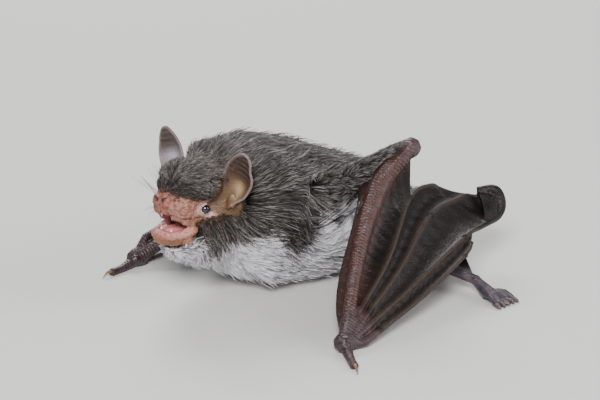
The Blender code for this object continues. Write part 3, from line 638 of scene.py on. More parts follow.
def add_wing(bm, side, sign):
    """Finger bones under the skin, knuckles, and the panels between them."""
    count = 56
    wrist, elbow, shoulder = WRIST[side], ELBOW[side], SHOULDER[side]
    fingers = {number: smooth_path(finger_path(side, number), 6) for number in FINGERS[side]}
    for number, path in fingers.items():
        add_tube(bm, path, FINGER_RADII[number], 10)
        add_tube(bm, [wrist, wrist.lerp(path[0], 0.5), path[0], path[2]], (1.0, 0.8, 0.5), 10)
        swell = 0.62 if number > 2 else 0.5
        add_ball(bm, finger_path(side, number)[2], (swell + 0.12, swell, swell))
    shares = [0.04 + 0.9 * step / (count - 1) for step in range(count)]
    arm = forearm_path(side)
    add_panel(bm, points_along(arm, 0.04, 0.94, count), propatagium_edge(side, shares), 0.3, 6)
    bone, metacarpal = points_along(arm[::-1], 0.06, 0.98, count), fingers[5][:13]
    add_panel(bm, bone, points_along(metacarpal, 0.02, 1.0, count), -sign * 1.7)
    for near, far in ((5, 4), (4, 3), (3, 2)):
        bones = fingers[near][:15] if far == 2 else fingers[near]
        last = 1.0 if far == 2 else PANEL_ENDS[side][near]
        a = points_along(bones, 0.03, last, count)
        b = points_along(fingers[far], 0.03, PANEL_ENDS[side][far], count)
        add_panel(bm, a, b, -sign * (1.3 if near == 5 else 0.9))
    third = fingers[3]
    add_panel(bm, points_along(third, 0.74, 0.86, 12), points_along(third[::-1], 0.0, 0.1, 12), 0.4, 6)
    outer = [elbow, *finger_path(side, 5)[2:], mm(21.6, sign * 15.0, 7.0), ANKLE[side]]
    inner = [shoulder.lerp(elbow, 0.85), shoulder.lerp(elbow, 0.5), mm(9.0, sign * 7.0, 12.5)]
    inner += [mm(14.0, sign * 5.0, 10.0), KNEE[side], KNEE[side].lerp(ANKLE[side], 0.8)]
    add_panel(bm, points_along(outer, 0.02, 0.98, count), points_along(inner, 0, 1, count), 0.4, 16)


def add_tail_skin(bm, side, sign):
    """The skin between a leg and the tail, drawn along the spur of the heel."""
    knee, ankle = KNEE[side], ANKLE[side]
    outer = [knee.lerp(ankle, 0.2), knee.lerp(ankle, 0.85), mm(24.4, sign * 12.0, 1.0)]
    tail = [mm(*point) for point in TAIL_PATH]
    add_panel(bm, points_along(outer, 0, 1, 26), points_along(tail, 0, 0.66, 26), 0.5 * sign, 20)


def add_limb_forms(bm):
    """The bare limbs, with the knobs of elbow, wrist, ankle and knee."""
    take_in(bm, copied(ARM_NODES + UPPER_NODES + FOOT_NODES, 0.1))
    for side in BOTH:
        elbow, wrist = ELBOW[side], WRIST[side]
        for place, radii in (
            (elbow, (1.75, 1.6, 1.6)),
            (wrist + mm(1.5, 0.6, 0.5), (1.1, 0.9, 0.9)),
            (wrist + mm(-0.6, -0.9, 0.25), (0.9, 0.8, 0.8)),
            (ANKLE[side], (0.95, 0.95, 0.9)),
            (KNEE[side], (1.3, 1.3, 1.2)),
        ):
            add_ball(bm, place, radii)
        arm = [SHOULDER[side].lerp(elbow, share) for share in (0.2, 0.4, 0.6, 0.8, 0.97)]
        add_tube(bm, arm, (2.6, 2.0, 1.7, 1.4), 14)
        add_tube(bm, forearm_path(side)[6:], (1.5, 1.3, 1.15, 1.1, 1.3), 14)


def carve(mesh):
    """Nostrils, the furrow between them, and the fold of the mouth's corner."""
    points, normals, _ = arrays(mesh)
    local = head_local(points)
    move = np.zeros(len(points))
    for sign in SIDES.values():
        for place, size, depth in (((-14.75, 0.68, 1.0), 0.36, 0.8), ((-14.6, 1.1, 1.35), 0.24, 0.45)):
            far = np.linalg.norm(local - np.array(place) * (1, sign, 1), axis=1)
            move -= depth * np.exp(-((far / size) ** 2))
    x, y, z = local.T
    away = np.abs(y)
    furrow = np.exp(-((y / 0.22) ** 2)) * ease(-13.4, -13.9, x)
    move -= 0.16 * furrow * ease(-0.6, 0.0, z)
    pad_back = -12.9 + 0.28 * (z - 0.6) ** 2
    crease = np.exp(-(((x - pad_back) / 0.26) ** 2)) * ease(-1.2, -0.6, z) * ease(2.4, 1.6, z)
    fold = np.exp(-(((z - 0.15 * (x + 9.5) + 1.35) / 0.24) ** 2))
    fold = fold * ease(-11.8, -10.8, x) * ease(-7.2, -8.2, x)
    move -= (0.36 * crease + 0.16 * fold) * ease(0.5, 1.2, away) * ease(-13.9, -13.5, x)
    move -= 0.7 * np.exp(-(((x + 12.7) / 0.4) ** 2) - ((away - 1.6) / 0.9) ** 2 - ((z + 1.5) / 0.7) ** 2)
    grain = bareness(points) * ease(-6.0, -8.0, x)
    move += grain * (0.035 * waves(points, 1.1, 21) + 0.055 * waves(points, 0.5, 22))
    move_points(mesh, points + normals * (move * MM)[:, None])


def make_skin():
    """One closed skin for all the flesh."""
    bm = make_body()
    take_in(bm, copied(["lower_jaw"], CLOSE))
    lobes = copied(pairs("tragus"), 0.0)
    bmesh.ops.translate(lobes, verts=lobes.verts, vec=HEAD.to_3x3() @ mm(0.8, 0, 0))
    take_in(bm, lobes)
    add_limb_forms(bm)
    add_muzzle(bm)
    add_gums(bm)
    for side, sign in SIDES.items():
        add_ear(bm, sign)
        add_lids(bm, sign)
        add_wing(bm, side, sign)
        add_tail_skin(bm, side, sign)
    skin = melted(piece(bm, "skin"), SKIN_GRAIN)
    smooth_form(skin.data, 3)
    carve(skin.data)
    keep_largest(skin.data)
    skin.data.calc_loop_triangles()
    thin = skin.modifiers.new("thin", "DECIMATE")
    thin.ratio = min(1.0, SKIN_TRIANGLES / len(skin.data.loop_triangles))
    thin.use_collapse_triangulate = True
    applied(skin)
    points = point_rows(skin.data)
    points[:, 2] = np.maximum(points[:, 2], 0.0)
    move_points(skin.data, points)
    return skin


def keep_largest(mesh):
    """Drops loose crumbs, leaving the largest island of the mesh."""
    near, far = column(mesh.edges, "vertices", 2, np.int32).T
    label = np.arange(len(mesh.vertices))
    while True:
        low = np.minimum(label[near], label[far])
        fresh = label.copy()
        np.minimum.at(fresh, near, low)
        np.minimum.at(fresh, far, low)
        fresh = fresh[fresh]
        if (fresh == label).all():
            break
        label = fresh
    names, counts = np.unique(label, return_counts=True)
    bm = loaded(mesh)
    bm.verts.ensure_lookup_table()
    loose = [bm.verts[index] for index in np.flatnonzero(label != names[counts.argmax()])]
    bmesh.ops.delete(bm, geom=loose, context="VERTS")
    bm.to_mesh(mesh)
    bm.free()


# ---- markings shared by skin and coat ----


def distances(points, names):
    """How far points lie outside these solids, in millimetres, and 0 within them."""
    tree = surface_tree(copied(names, 0.0))
    found = np.full(len(points), REACH)
    for index, point in enumerate(points):
        place, normal, _, far = tree.find_nearest(point, REACH * MM)
        if place is not None:
            inside = (Vector(point) - place).dot(normal) < 0
            found[index] = 0.0 if inside else far / MM
    return found


def beyond_path(points, path, radii):
    """How far points lie outside a tube of these radii along a path, in millimetres."""
    count = 120
    tree = point_tree(points_along(path, 0, 1, count))
    found = [tree.find(point) for point in points]
    place = np.array([index for _, index, _ in found]) / (count - 1) * (len(radii) - 1)
    return np.array([far for _, _, far in found]) / MM - np.interp(place, range(len(radii)), radii)


def whiteness(points):
    """1 on the white fur of throat, breast and belly, 0 on the grey of back and cheeks."""
    x, y, z = (points / MM).T
    along = (-30, -25, -20, -15, -11, -7, -4, -1.5, 3, 6, 14, 23)
    left = np.interp(x, along, (11.6, 10.9, 11.8, 12.2, 10.9, 11.8, 13.8, 15.8, 16.0, 12.0, 5.6, 1.0))
    right = np.interp(x, along, (11.6, 10.9, 11.8, 12.0, 10.6, 9.4, 9.0, 9.0, 8.6, 7.6, 5.0, 1.0))
    ragged = 0.45 * waves(points, 5.0, 11) + 0.6 * waves(points, 1.8, 12)
    return ease(-0.9, 0.9, np.where(y < 0, left, right) + ragged - z) * ease(12.4, 11.6, np.abs(y))


def coat_colours(points):
    """Colours of the coat at the roots and at the tips."""
    x, y, z = (points / MM).T
    head_x, _, head_z = head_local(points).T
    bare = bareness(points)
    patch = np.clip(waves(points, 6.0, 31) * 0.6 + waves(points, 2.4, 32) * 0.5, -1, 1)
    side = ease(3.0, 8.5, np.abs(y)) * ease(24.0, 19.0, z) * ease(6.0, -4.0, x)
    brow = 0.6 * ease(0.0, -6.0, head_x)
    crown = ease(-11.5, -9.0, head_x) * ease(-2.0, -5.0, head_x) * ease(3.0, 4.2, head_z)
    root = layered(
        linear(26, 22, 21),
        ((17, 13, 11), side),
        ((26, 19, 16), brow),
        ((58, 36, 26), 0.6 * ease(0.02, 0.4, bare)),
        ((112, 74, 60), 0.8 * ease(0.5, 0.9, bare)),
    )
    tip = linear(98, 93, 92)
    tip = layered(tip, ((56, 48, 41), np.clip(side + 0.25 * patch, 0, 1)), ((84, 73, 66), brow))
    tip = layered(
        tip * (1 + 0.42 * patch + 0.5 * crown)[:, None],
        ((44, 36, 30), 0.85 * ease(0.02, 0.6, bareness(points, 2.6))),
        ((96, 66, 48), 0.5 * ease(0.02, 0.4, bare)),
        ((148, 108, 86), 0.8 * ease(0.5, 0.9, bare)),
        ((112, 84, 56), 0.6 * ease(0.3, 0.8, before_ear(points))),
    )
    white = whiteness(points)
    # Painted shade: the white fur's roots turn grey towards the flanks and cheeks.
    white_root = layered(linear(214, 209, 218), ((136, 128, 134), side * 0.55))
    return mix(root, white_root, white), mix(tip, linear(252, 250, 255), white)


def from_eye(local):
    """How far points of the head lie from the eye, in millimetres, seen from its side."""
    return np.hypot(local[:, 0] + 7.3, local[:, 2] - 0.35)


def mouth_share(local):
    """1 within the open mouth."""
    x, y, z = local.T
    return ease(2.7, 1.9, np.abs(y)) * ease(-0.7, -1.3, z) * ease(-5.3, -4.9, z) * ease(-13.2, -12.4, x)


def face_colours(points):
    """The bare skin of muzzle, eyelids, lips and chin, and the inside of the mouth, with painted shade in
    the nostrils and deeper in the mouth.
    """
    local = head_local(points)
    x, y, z = local.T
    away = np.abs(y)
    inside = mouth_share(local)
    slit = np.clip((away - 0.6) / 0.6, 0, 1)
    aside = (x + 14.35 - 0.15 * slit, away - 0.68 - 0.5 * slit, z - 1.0 - 0.45 * slit)
    nostril = ease(0.62 - 0.2 * slit, 0.3 - 0.1 * slit, np.sqrt(sum(part**2 for part in aside)))
    mottled = 0.5 + 0.5 * waves(points, 1.0, 41)
    return layered(
        linear(172, 121, 106),
        ((164, 96, 90), ease(-12.6, -14.0, x) * 0.8),
        ((216, 176, 172), ease(2.1, 1.2, from_eye(local)) * 0.85),
        ((128, 84, 52), ease(-4.5, -5.6, z) * ease(-8.0, -10.0, x) * 0.85),
        ((130, 86, 56), ease(-9.6, -8.0, x) * ease(0.0, -1.6, z) * 0.75),
        ((112, 84, 54), ease(-5.9, -4.8, x) * 0.9),
        ((196, 132, 130), ease(-2.2, -3.0, z) * ease(-4.7, -3.9, z) * ease(-8.4, -9.4, x) * 0.8),
        ((120, 78, 58), 0.55 * mottled * ease(-6.5, -9.0, x) * ease(-3.6, -2.8, z)),
        ((192, 122, 122), 0.85 * inside),
        # Painted shade: a darker red deeper in the open mouth.
        ((150, 78, 76), 0.7 * (ease(-10.5, -8.2, x) * inside)),
        # Painted shade: near-black inside the nostrils.
        ((40, 16, 12), 0.9 * nostril),
    )


def ear_colours(points, normals):
    """Dark shells, and hollows with a pale patch under darker tips; painted highlights lie on the tips' fold
    ridges and along the rim.
    """
    found = np.zeros_like(points)
    across = head_local(points)[:, 1]
    for sign, lift, middle, pale, spot in (
        (-1.0, 0.0, (84, 60, 44), (190, 162, 126), 0.13),
        (1.0, 0.17, (122, 110, 116), (186, 174, 190), 0.18),
    ):
        own = ear_local(points, sign)
        turned = normals @ np.array(ear_frame(sign).inverted())[:3, :3].T
        height = own[:, 2] / 10.4
        inner = height - lift
        patch = np.exp(-(((inner - 0.3) / spot) ** 2) - ((sign * own[:, 1] - 0.4) / (9 * spot)) ** 2)
        # Painted highlight: paler bands on the crests of the ear's transverse folds.
        ridge_highlight = 0.5 + 0.5 * np.sin(2 * math.pi * EAR_FOLDS * height)
        shell = layered(linear(70, 50, 40), ((46, 33, 29), ease(0.3, 0.8, height)))
        hollow = layered(
            linear(96, 68, 44),
            (middle, ease(0.04, 0.2, height)),
            (pale, 0.9 * patch),
            ((42, 30, 26), ease(0.36, 0.62, inner) * 0.95),
            ((96, 78, 70), 0.5 * ridge_highlight * ease(0.42, 0.55, inner)),
        )
        colour = mix(shell, hollow, ease(0.25, -0.35, turned[:, 0]))
        # Painted highlight: a paler band along the ear's free edge.
        colour = layered(colour, ((150, 134, 130), 0.7 * rim_share(own, sign)))
        found += colour * ease(0.0, 0.5, sign * across)[:, None]
    return found


def from_either(points, places):
    """How far points lie from the nearer one of a pair of places, in millimetres."""
    return np.minimum.reduce([np.linalg.norm(points - np.array(places[side]), axis=1) for side in BOTH]) / MM


def skin_colours(points, normals, shares):
    """The colour of the skin everywhere, from how much each point belongs to each part."""
    root, tip = coat_colours(points)
    by_ear = before_ear(points)
    by_arm = np.minimum.reduce([beyond_path(points, forearm_path(side), (1.5, 1.5)) for side in BOTH])
    face = face_colours(points)
    coat = mix(mix(root, tip, 0.12 + 0.3 * by_ear), face, ease(0.15, 0.7, bareness(points)))
    parts = {
        "coat": layered(coat, ((96, 70, 48), 0.85 * ease(0.45, 0.85, by_ear))),
        "jaw": face,
        "ear": ear_colours(points, normals),
        "arm": layered(
            linear(72, 45, 39),
            # Painted highlight: a grey-purple sheen round the elbow.
            ((82, 68, 70), ease(3.2, 1.2, from_either(points, ELBOW)) * 0.85),
            ((58, 46, 50), ease(9.0, 2.5, from_either(points, WRIST)) * 0.85),
            ((46, 27, 23), 0.5 * (0.5 + 0.5 * waves(points, 1.3, 43))),
            # Painted highlight: purple-grey patches of sheen over the forearm.
            ((74, 60, 66), 0.5 * ease(0.1, 0.9, waves(points, 2.2, 46))),
        ),
        "bone": linear(56, 46, 40),
        "wing": layered(
            linear(18, 14, 13),
            ((31, 24, 22), 0.5 + 0.5 * waves(points, 3.0, 44)),
            ((52, 34, 30), 0.85 * ease(2.4, 0.3, by_arm)),
        ),
        "foot": layered(linear(86, 74, 80), ((60, 56, 66), 0.5 + 0.5 * waves(points, 1.2, 45))),
        "upper": linear(36, 28, 26),
    }
    return sum(parts[name] * shares[name][:, None] for name in parts)


def rim_share(own, sign):
    """1 along the free edge of an ear, from points in the ear's own frame."""
    tree = point_tree(ear_rim(sign, 40))
    return ease(0.34, 0.14, np.array([tree.find(Vector(point) * MM)[2] for point in own]) / MM)


def by_finger(points):
    """0 on the bones of the fingers, and far away elsewhere."""
    beyond = []
    for side in BOTH:
        for number in FINGERS[side]:
            path = points_along(smooth_path(finger_path(side, number), 6), 0, 0.66 if number == 3 else 1, 40)
            beyond.append(beyond_path(points, path, FINGER_RADII[number][:3]))
    return np.where(np.minimum.reduce(beyond) < 0.1, 0.0, REACH)


def part_shares(points, edges):
    """How much each point of the skin belongs to each part, adding up to 1."""
    far = {
        "coat": distances(points, COAT_NODES),
        "jaw": distances(points, ["lower_jaw"]) - 0.1,
        "ear": distances(points, EAR_NODES) + 0.05,
        "arm": distances(points, ARM_NODES) + 0.1,
        "upper": distances(points, UPPER_NODES) + 0.1,
        "bone": by_finger(points),
        "wing": distances(points, SHEET_NODES) + 0.2,
        "foot": distances(points, FOOT_NODES) + 0.1,
    }
    weights = [np.exp(-np.maximum(values, 0.0) / BLEND) for values in far.values()]
    total = sum(weights) + 1e-12
    stacked = smoothed(np.stack([weight / total for weight in weights], axis=1), edges, 2)
    stacked /= stacked.sum(1)[:, None]
    return dict(zip(far, stacked.T))


def paint_skin(skin):
    """Stores the skin's colour and what its bump and gloss need."""
    points, normals, edges = arrays(skin.data)
    shares = part_shares(points, edges)
    store_colours(skin.data, skin_colours(points, normals, shares))
    bare = bareness(points)
    local = head_local(points)
    x, _, z = local.T
    lips = ease(-2.0, -2.8, z) * ease(-5.0, -4.2, z) * ease(-8.4, -9.4, x)
    along = np.zeros(len(points))
    for side, sign in SIDES.items():
        axis = (WRIST[side] - ELBOW[side]).normalized()
        near = points[:, 1] * sign > 0
        along[near] = ((points - np.array(ELBOW[side])) @ np.array(axis))[near] / MM
    for name, values in (
        ("wing", shares["wing"] + shares["bone"]),
        ("arm", shares["arm"] + shares["foot"]),
        ("face", np.clip(shares["jaw"] + shares["coat"] * bare, 0, 1)),
        ("wet", np.maximum(mouth_share(local), lips) * ease(0.2, 0.8, bare + shares["jaw"])),
        ("along_arm", along),
    ):
        store(skin.data, name, values)
    return shares


# ---- coat ----


def armpit(points):
    """1 behind the shoulder, where the white fur stands up towards the arm."""
    x, y, z = (points / MM).T
    side = ease(7.0, 9.5, np.abs(y)) * ease(5.0, 8.0, z) * ease(19.0, 16.0, z)
    return side * ease(-9.0, -4.0, x) * ease(9.0, 5.0, x)


def flow_of(points, normals):
    """The direction in which the hair lies, along the skin."""
    _, y, z = (points / MM).T
    head_x, head_y, head_z = head_local(points).T
    trunk, head = np.zeros_like(points), np.zeros_like(points)
    trunk[:, 0] = head[:, 0] = 1.0
    flank = ease(4.0, 10.0, np.abs(y)) * ease(4.0, 8.0, z) * ease(22.0, 16.0, z)
    trunk[:, 2] = -0.42 * flank + 0.9 * armpit(points)
    head[:, 1] = 0.25 * np.sign(head_y) * ease(-3.0, -9.0, head_x) * ease(1.5, 3.5, head_z)
    head[:, 2] = -0.45 * ease(2.5, -2.0, head_z)
    flow = mix(trunk, head @ np.array(HEAD.to_3x3()).T, ease(1.0, -3.0, head_x))
    flow = unit(flow - normals * (flow * normals).sum(1)[:, None])
    swirl = 0.32 * waves(points, 7.0, 51) + 0.26 * waves(points, 2.2, 52)
    return turned(flow, normals, swirl)


def turned(flow, normals, angles):
    """Directions along the skin, turned by an angle each."""
    return flow * np.cos(angles)[:, None] + np.cross(normals, flow) * np.sin(angles)[:, None]


def scattered(mesh, weight, count, rng):
    """Random places on the skin, as points and normals, thickest where weight is largest."""
    mesh.calc_loop_triangles()
    corners = column(mesh.loop_triangles, "vertices", 3, np.int32)
    points, normals, _ = arrays(mesh)
    a, b, c = points[corners.T]
    area = np.linalg.norm(np.cross(b - a, c - a), axis=1) / 2
    chance = area * weight[corners].mean(1)
    chosen = rng.choice(len(corners), size=count, p=chance / chance.sum())
    first, second = rng.random(count), rng.random(count)
    folded = first + second > 1
    first[folded], second[folded] = 1 - first[folded], 1 - second[folded]
    share = np.stack([1 - first - second, first, second], axis=1)[:, :, None]
    ends = corners[chosen]
    return (points[ends] * share).sum(1), unit((normals[ends] * share).sum(1))


def clumped(roots, steps, pull, rng):
    """Draws the tips of neighbouring tufts together, towards one leader for each clump."""
    leaders = rng.choice(len(roots), size=max(len(roots) // CLUMP, 1), replace=False)
    tree = point_tree(roots[leaders])
    own = np.array([leaders[tree.find(root)[1]] for root in roots])
    target = roots[own] + steps[own]
    return steps + (target - (roots + steps)) * pull[:, None]


RINGS = (0.0, 0.42, 0.76, 1.0)  # how far along a tuft its three rings and its tip are
RISE = (-0.12, 0.66, 0.93, 1.0)  # how high they stand, as shares of the tuft's height
TAPER = (1.0, 0.92, 0.6)  # how wide the rings are, as shares of the tuft's width


def lay_tufts(tree, roots, normals, steps, heights, widths):
    """Points of closed three-sided tufts that hug the skin: three rings and a tip each."""
    count = len(roots)
    points = np.empty((count, 10, 3))
    centres = []
    raised = []
    for share, rise in zip(RINGS, RISE):
        centre = roots + steps * share
        up = normals.copy()
        if share > 0:
            for index in range(count):
                place, normal, _, _ = tree.find_nearest(centre[index])
                centre[index] = place
                up[index] = normal
        centres.append(centre + up * (heights * rise)[:, None])
        raised.append(up)
    for ring, taper in enumerate(TAPER):
        ahead = unit(centres[ring + 1] - centres[max(ring - 1, 0)])
        aside = unit(np.cross(raised[ring], ahead))
        over = np.cross(ahead, aside)
        for corner in range(3):
            angle = math.pi / 2 + corner * 2 * math.pi / 3
            offset = aside * math.cos(angle) + over * 0.75 * math.sin(angle)
            points[:, ring * 3 + corner] = centres[ring] + offset * (widths * taper)[:, None]
    points[:, 9] = centres[3]
    return points


def tuft_faces():
    """Corner numbers of one tuft's faces: its foot, its sides and its tip."""
    faces = [(2, 1, 0)]
    for ring in (0, 3):
        for corner in range(3):
            after = (corner + 1) % 3
            faces.append((ring + corner, ring + after, ring + 3 + after, ring + 3 + corner))
    for corner in range(3):
        faces.append((6 + corner, 6 + (corner + 1) % 3, 9))
    return faces


def coat_piece(name, points, colours, unwrap, material):
    """Joins tufts into one mesh, with their colours and the map that they are baked on."""
    count = len(points)
    faces = tuft_faces()
    sizes = np.array([len(face) for face in faces])
    loops = (np.arange(count)[:, None] * 10 + np.concatenate(faces)).ravel()
    starts = np.concatenate([[0], np.cumsum(np.tile(sizes, count))[:-1]])
    mesh = bpy.data.meshes.new(name)
    mesh.vertices.add(count * 10)
    mesh.vertices.foreach_set("co", points.astype(np.float32).ravel())
    mesh.loops.add(len(loops))
    mesh.loops.foreach_set("vertex_index", loops.astype(np.int32))
    mesh.polygons.add(len(starts))
    mesh.polygons.foreach_set("loop_start", starts.astype(np.int32))
    mesh.update(calc_edges=True)
    shares = np.array([0.0] * 3 + [0.45] * 3 + [0.85] * 3 + [1.0])
    root_colour, tip_colour = colours[:, :, None, :]
    tones = root_colour + (tip_colour - root_colour) * (shares**1.3)[:, None]
    store_colours(mesh, tones.reshape(-1, 3))
    across = np.array([0.0, 0.5, 1.0] * 3 + [0.5])
    corners = (unwrap[:, None, :] + np.stack([across, shares], axis=1) * PATCH).reshape(-1, 2)
    layer = mesh.uv_layers.new(name="OFBake")
    layer.data.foreach_set("uv", corners[loops].astype(np.float32).ravel())
    dress(linked(name, mesh), "fur_dark", material)


def unrolled(*ways):
    """Places on the skin rolled out flat, from ways round and along it, with room for a patch."""
    spread = [(way - way.min()) / max(way.max() - way.min(), 1e-9) for way in ways]
    return np.stack(spread, axis=1) * (1 - 2 * PATCH) + PATCH / 2


def make_coat(skin, shares, material):
    """The whole coat, in a few pieces for the head and a few for the body."""
    rng = np.random.default_rng(2024)
    points = point_rows(skin.data)
    local = head_local(points)
    thin = 0.045 * (1 - mouth_share(local)) * ease(1.0, 1.5, from_eye(local))
    furred = shares["coat"] * np.maximum(ease(0.8, 0.2, bareness(points)), thin)
    furred = furred * ease(0.45, 0.75, shares["coat"]) * ease(0.95, 0.5, before_ear(points))
    furred = furred * ease(0.5, 0.1, before_ear(points, 1.9))
    furred = furred + 0.9 * ease(0.3, 0.7, shares["upper"])
    on_head = ease(1.5, 0.5, local[:, 0])
    depth = coat_depth(points)
    head = furred * on_head * np.interp(depth, (0.15, 0.5, 1.2), (3.4, 2.2, 1.0))
    trunk = furred * (1 - on_head) * np.interp(depth, (0.3, 0.8, 1.5), (1.9, 1.4, 1.0))
    tree = surface_tree(loaded(skin.data))
    for region, weight in (("head", head), ("trunk", trunk)):
        roots, up = scattered(skin.data, weight, TUFTS[region], rng)
        lay_region(region, tree, roots, up, material, rng)


def lay_region(region, tree, roots, up, material, rng):
    """Tufts for one region of the body, split into pieces that stay small enough."""
    count = len(roots)
    depth = np.maximum(coat_depth(roots), 0.12)
    white = whiteness(roots)
    lie = turned(flow_of(roots, up), up, rng.normal(0, 0.13, count))
    length = (0.35 + 2.75 * depth) * rng.uniform(0.75, 1.2, count) * MM
    length *= 1 - 0.45 * before_ear(roots + lie * length[:, None])
    pull = np.clip(rng.normal(0.5, 0.18, count), 0, 0.85)
    short = 1 - 0.9 * inside_ear(roots)
    steps = clumped(roots, lie * length[:, None], pull, rng) * short[:, None]
    heights = depth * short * rng.uniform(0.65, 1.05, count) * MM
    heights *= 1 + 0.45 * (rng.random(count) < 0.07)
    heights *= 1 + 0.5 * armpit(roots) * white
    widths = np.interp(depth, (0.1, 0.6, 1.7), (0.03, 0.055, 0.085)) * rng.uniform(0.8, 1.2, count) * MM
    points = lay_tufts(tree, roots, up, steps, heights, widths)
    points[:, :, 2] = np.maximum(points[:, :, 2], 0.02 * MM)

    shift = rng.normal(0, 0.55, (count, 1)) * MM * (0, 0, 1)
    root_colour, tip_colour = coat_colours(roots + shift)
    shade = rng.uniform(0.78, 1.18, count)[:, None]
    x, y, z = (roots / MM).T
    ruff = np.exp(-(((x + 8) / 3.5) ** 2) - ((np.abs(y) - 8.5) / 3) ** 2 - ((z - 19) / 2.5) ** 2)
    frost = (0.62 + 0.3 * ruff) * rng.random(count) ** 3 + 0.1 * ruff
    frost = frost * (1 - white) * (1 - 0.8 * bareness(roots, 2.6))
    frosted = tip_colour * shade + (linear(222, 218, 214) - tip_colour) * frost[:, None]
    colours = np.stack([root_colour * shade, frosted])

    turn = HEAD.to_3x3() if region == "head" else Matrix.Identity(3)
    centre = head_point(-2, 0, 0) if region == "head" else mm(0, 0, 12)
    forward, upward = np.array(turn.col[0]), np.array(turn.col[2])
    offset = roots - np.array(centre)
    angle = np.arctan2(offset @ np.cross(upward, forward), offset @ upward)
    along = offset @ forward
    pieces = np.array_split(np.argsort(angle), math.ceil(count / PIECE_TUFTS))
    for number, chosen in enumerate(pieces, 1):
        unwrap = unrolled(angle[chosen], along[chosen])
        coat_piece(f"coat_{region}_{number}", points[chosen], colours[:, chosen], unwrap, material)


# ---- eyes, teeth, tongue, claws and whiskers ----


def dress(made, slot, material, *nodes):
    """Gives a piece its material, and puts it in place of some solids; the slot is not used."""
    made.data.materials.clear()
    made.data.materials.append(material)
    made.data.shade_smooth()
    if nodes:
        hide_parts(*nodes)
    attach(made, "root")


def finished(bm, name, slot, material, *nodes):
    """Turns a closed piece's faces outwards and dresses it."""
    bmesh.ops.recalc_face_normals(bm, faces=bm.faces)
    dress(piece(bm, name), slot, material, *nodes)


def make_eyes(material):
    for side, sign in SIDES.items():
        bm = bmesh.new()
        add_ball(bm, head_point(*sided(EYE, sign)), (EYE_RADIUS,) * 3, 36, 24)
        finished(bm, "eyeball_" + side, "eye", material, "eye_" + side)


def tooth_row(bm, bow, upward):
    """Small pointed teeth along a jaw, with a long canine near the front of each side."""
    heights = (0.42, 0.5, 0.5, 0.46, 0.95, 0.4, 0.34)
    widths = (0.3, 0.32, 0.32, 0.28, 0.26, 0.17, 0.16)
    for sign in SIDES.values():
        row = [sided(place, sign) * MM for place in bow]
        for root, height, width in zip(points_along(row, 0.04, 0.95, len(heights)), heights, widths):
            top = root + mm(0, 0, upward * height)
            lean = mm(0.1 if height > 0.6 else 0, 0, 0)
            path = [HEAD @ point for point in (root, root.lerp(top, 0.5), top + lean)]
            add_tube(bm, path, (width, width * 0.72, width * 0.12), 10)


def make_teeth(material):
    for name, bow, upward in (("upper", UPPER_BOW, -1), ("lower", LOWER_BOW, 1)):
        bm = bmesh.new()
        tooth_row(bm, bow, upward)
        finished(bm, name + "_tooth_row", "tooth", material, name + "_teeth")


def make_tongue(material):
    tongue = melted(piece(copied(["tongue"], 0.12), "tongue_skin"), 0.11)
    smooth_form(tongue.data, 12)
    points, normals, _ = arrays(tongue.data)
    groove = np.exp(-((head_local(points)[:, 1] / 0.28) ** 2))
    move_points(tongue.data, points - normals * (0.1 * MM * groove)[:, None])
    dress(tongue, "mouth", material, "tongue")


def add_claw(bm, root, tip, lift, width):
    """A curved, pointed claw from root to tip, arched upwards by lift."""
    arch = [(share, mm(0, 0, lift * math.sin(math.pi * share))) for share in (step / 6 for step in range(7))]
    path = [root.lerp(tip, share) + rise for share, rise in arch]
    add_tube(bm, path, (width, width * 0.85, width * 0.55, width * 0.1), 10)


def at_height(place, height):
    return Vector((place.x, place.y, height * MM))


def make_claws(material):
    for side in BOTH:
        wrist, tip = WRIST[side], THUMB_TIP[side]
        bm = bmesh.new()
        add_claw(bm, at_height(wrist.lerp(tip, 0.7), 0.62), at_height(tip, 0.12), 0.5, 0.34)
        finished(bm, "thumb_nail_" + side, "claw", material, "thumb_claw_" + side)

        ahead = TOES[side] - ANKLE[side]
        flat = Vector((ahead.x, ahead.y, 0)).normalized()
        aside = Vector((-flat.y, flat.x, 0))
        ball = at_height(ANKLE[side] + ahead * 0.42, 0.9)
        bm = bmesh.new()
        for toe in range(5):
            offset = (toe - 2) / 2
            root = ball + (aside * offset * 2.05 + flat * 3.5) * MM
            hook = ball + (aside * offset * 2.25 + flat * 5.1) * MM
            add_claw(bm, at_height(root, 0.62), at_height(hook, 0.1), 0.42, 0.2)
        finished(bm, "toe_nails_" + side, "claw", material)


def make_whiskers(material):
    """Fine stiff hairs on the muzzle, brow and chin."""
    rng = np.random.default_rng(77)
    bm = bmesh.new()
    bend = Vector((0.9, 0, -0.25))
    for sign in SIDES.values():
        for place, way, number, reach in (
            ((-13.0, 2.0, 1.6), (-0.55, 0.62, 0.5), 9, 5.2),
            ((-11.0, 2.6, 2.2), (-0.3, 0.65, 0.75), 8, 5.0),
            ((-12.6, 1.6, -0.9), (-0.35, 0.75, -0.3), 5, 3.4),
            ((-11.6, 1.6, -5.9), (-0.15, 0.25, -1.0), 2, 3.4),
            ((-10.0, 3.2, 2.6), (0.1, 0.75, 0.8), 5, 4.2),
        ):
            for _ in range(number):
                root = sided(Vector(place) + Vector(rng.normal(0, 0.45, 3)), sign)
                lie = sided((Vector(way) + Vector(rng.normal(0, 0.16, 3))).normalized(), sign)
                length = reach * rng.uniform(0.7, 1.1)
                path = []
                for share in (step / 5 for step in range(6)):
                    point = root + lie * length * share + bend * 0.22 * length * share**2
                    path.append(HEAD @ (point * MM))
                add_tube(bm, path, (0.032, 0.024, 0.012), 4)
    finished(bm, "whiskers", "fur_dark", material)


# ---- materials ----


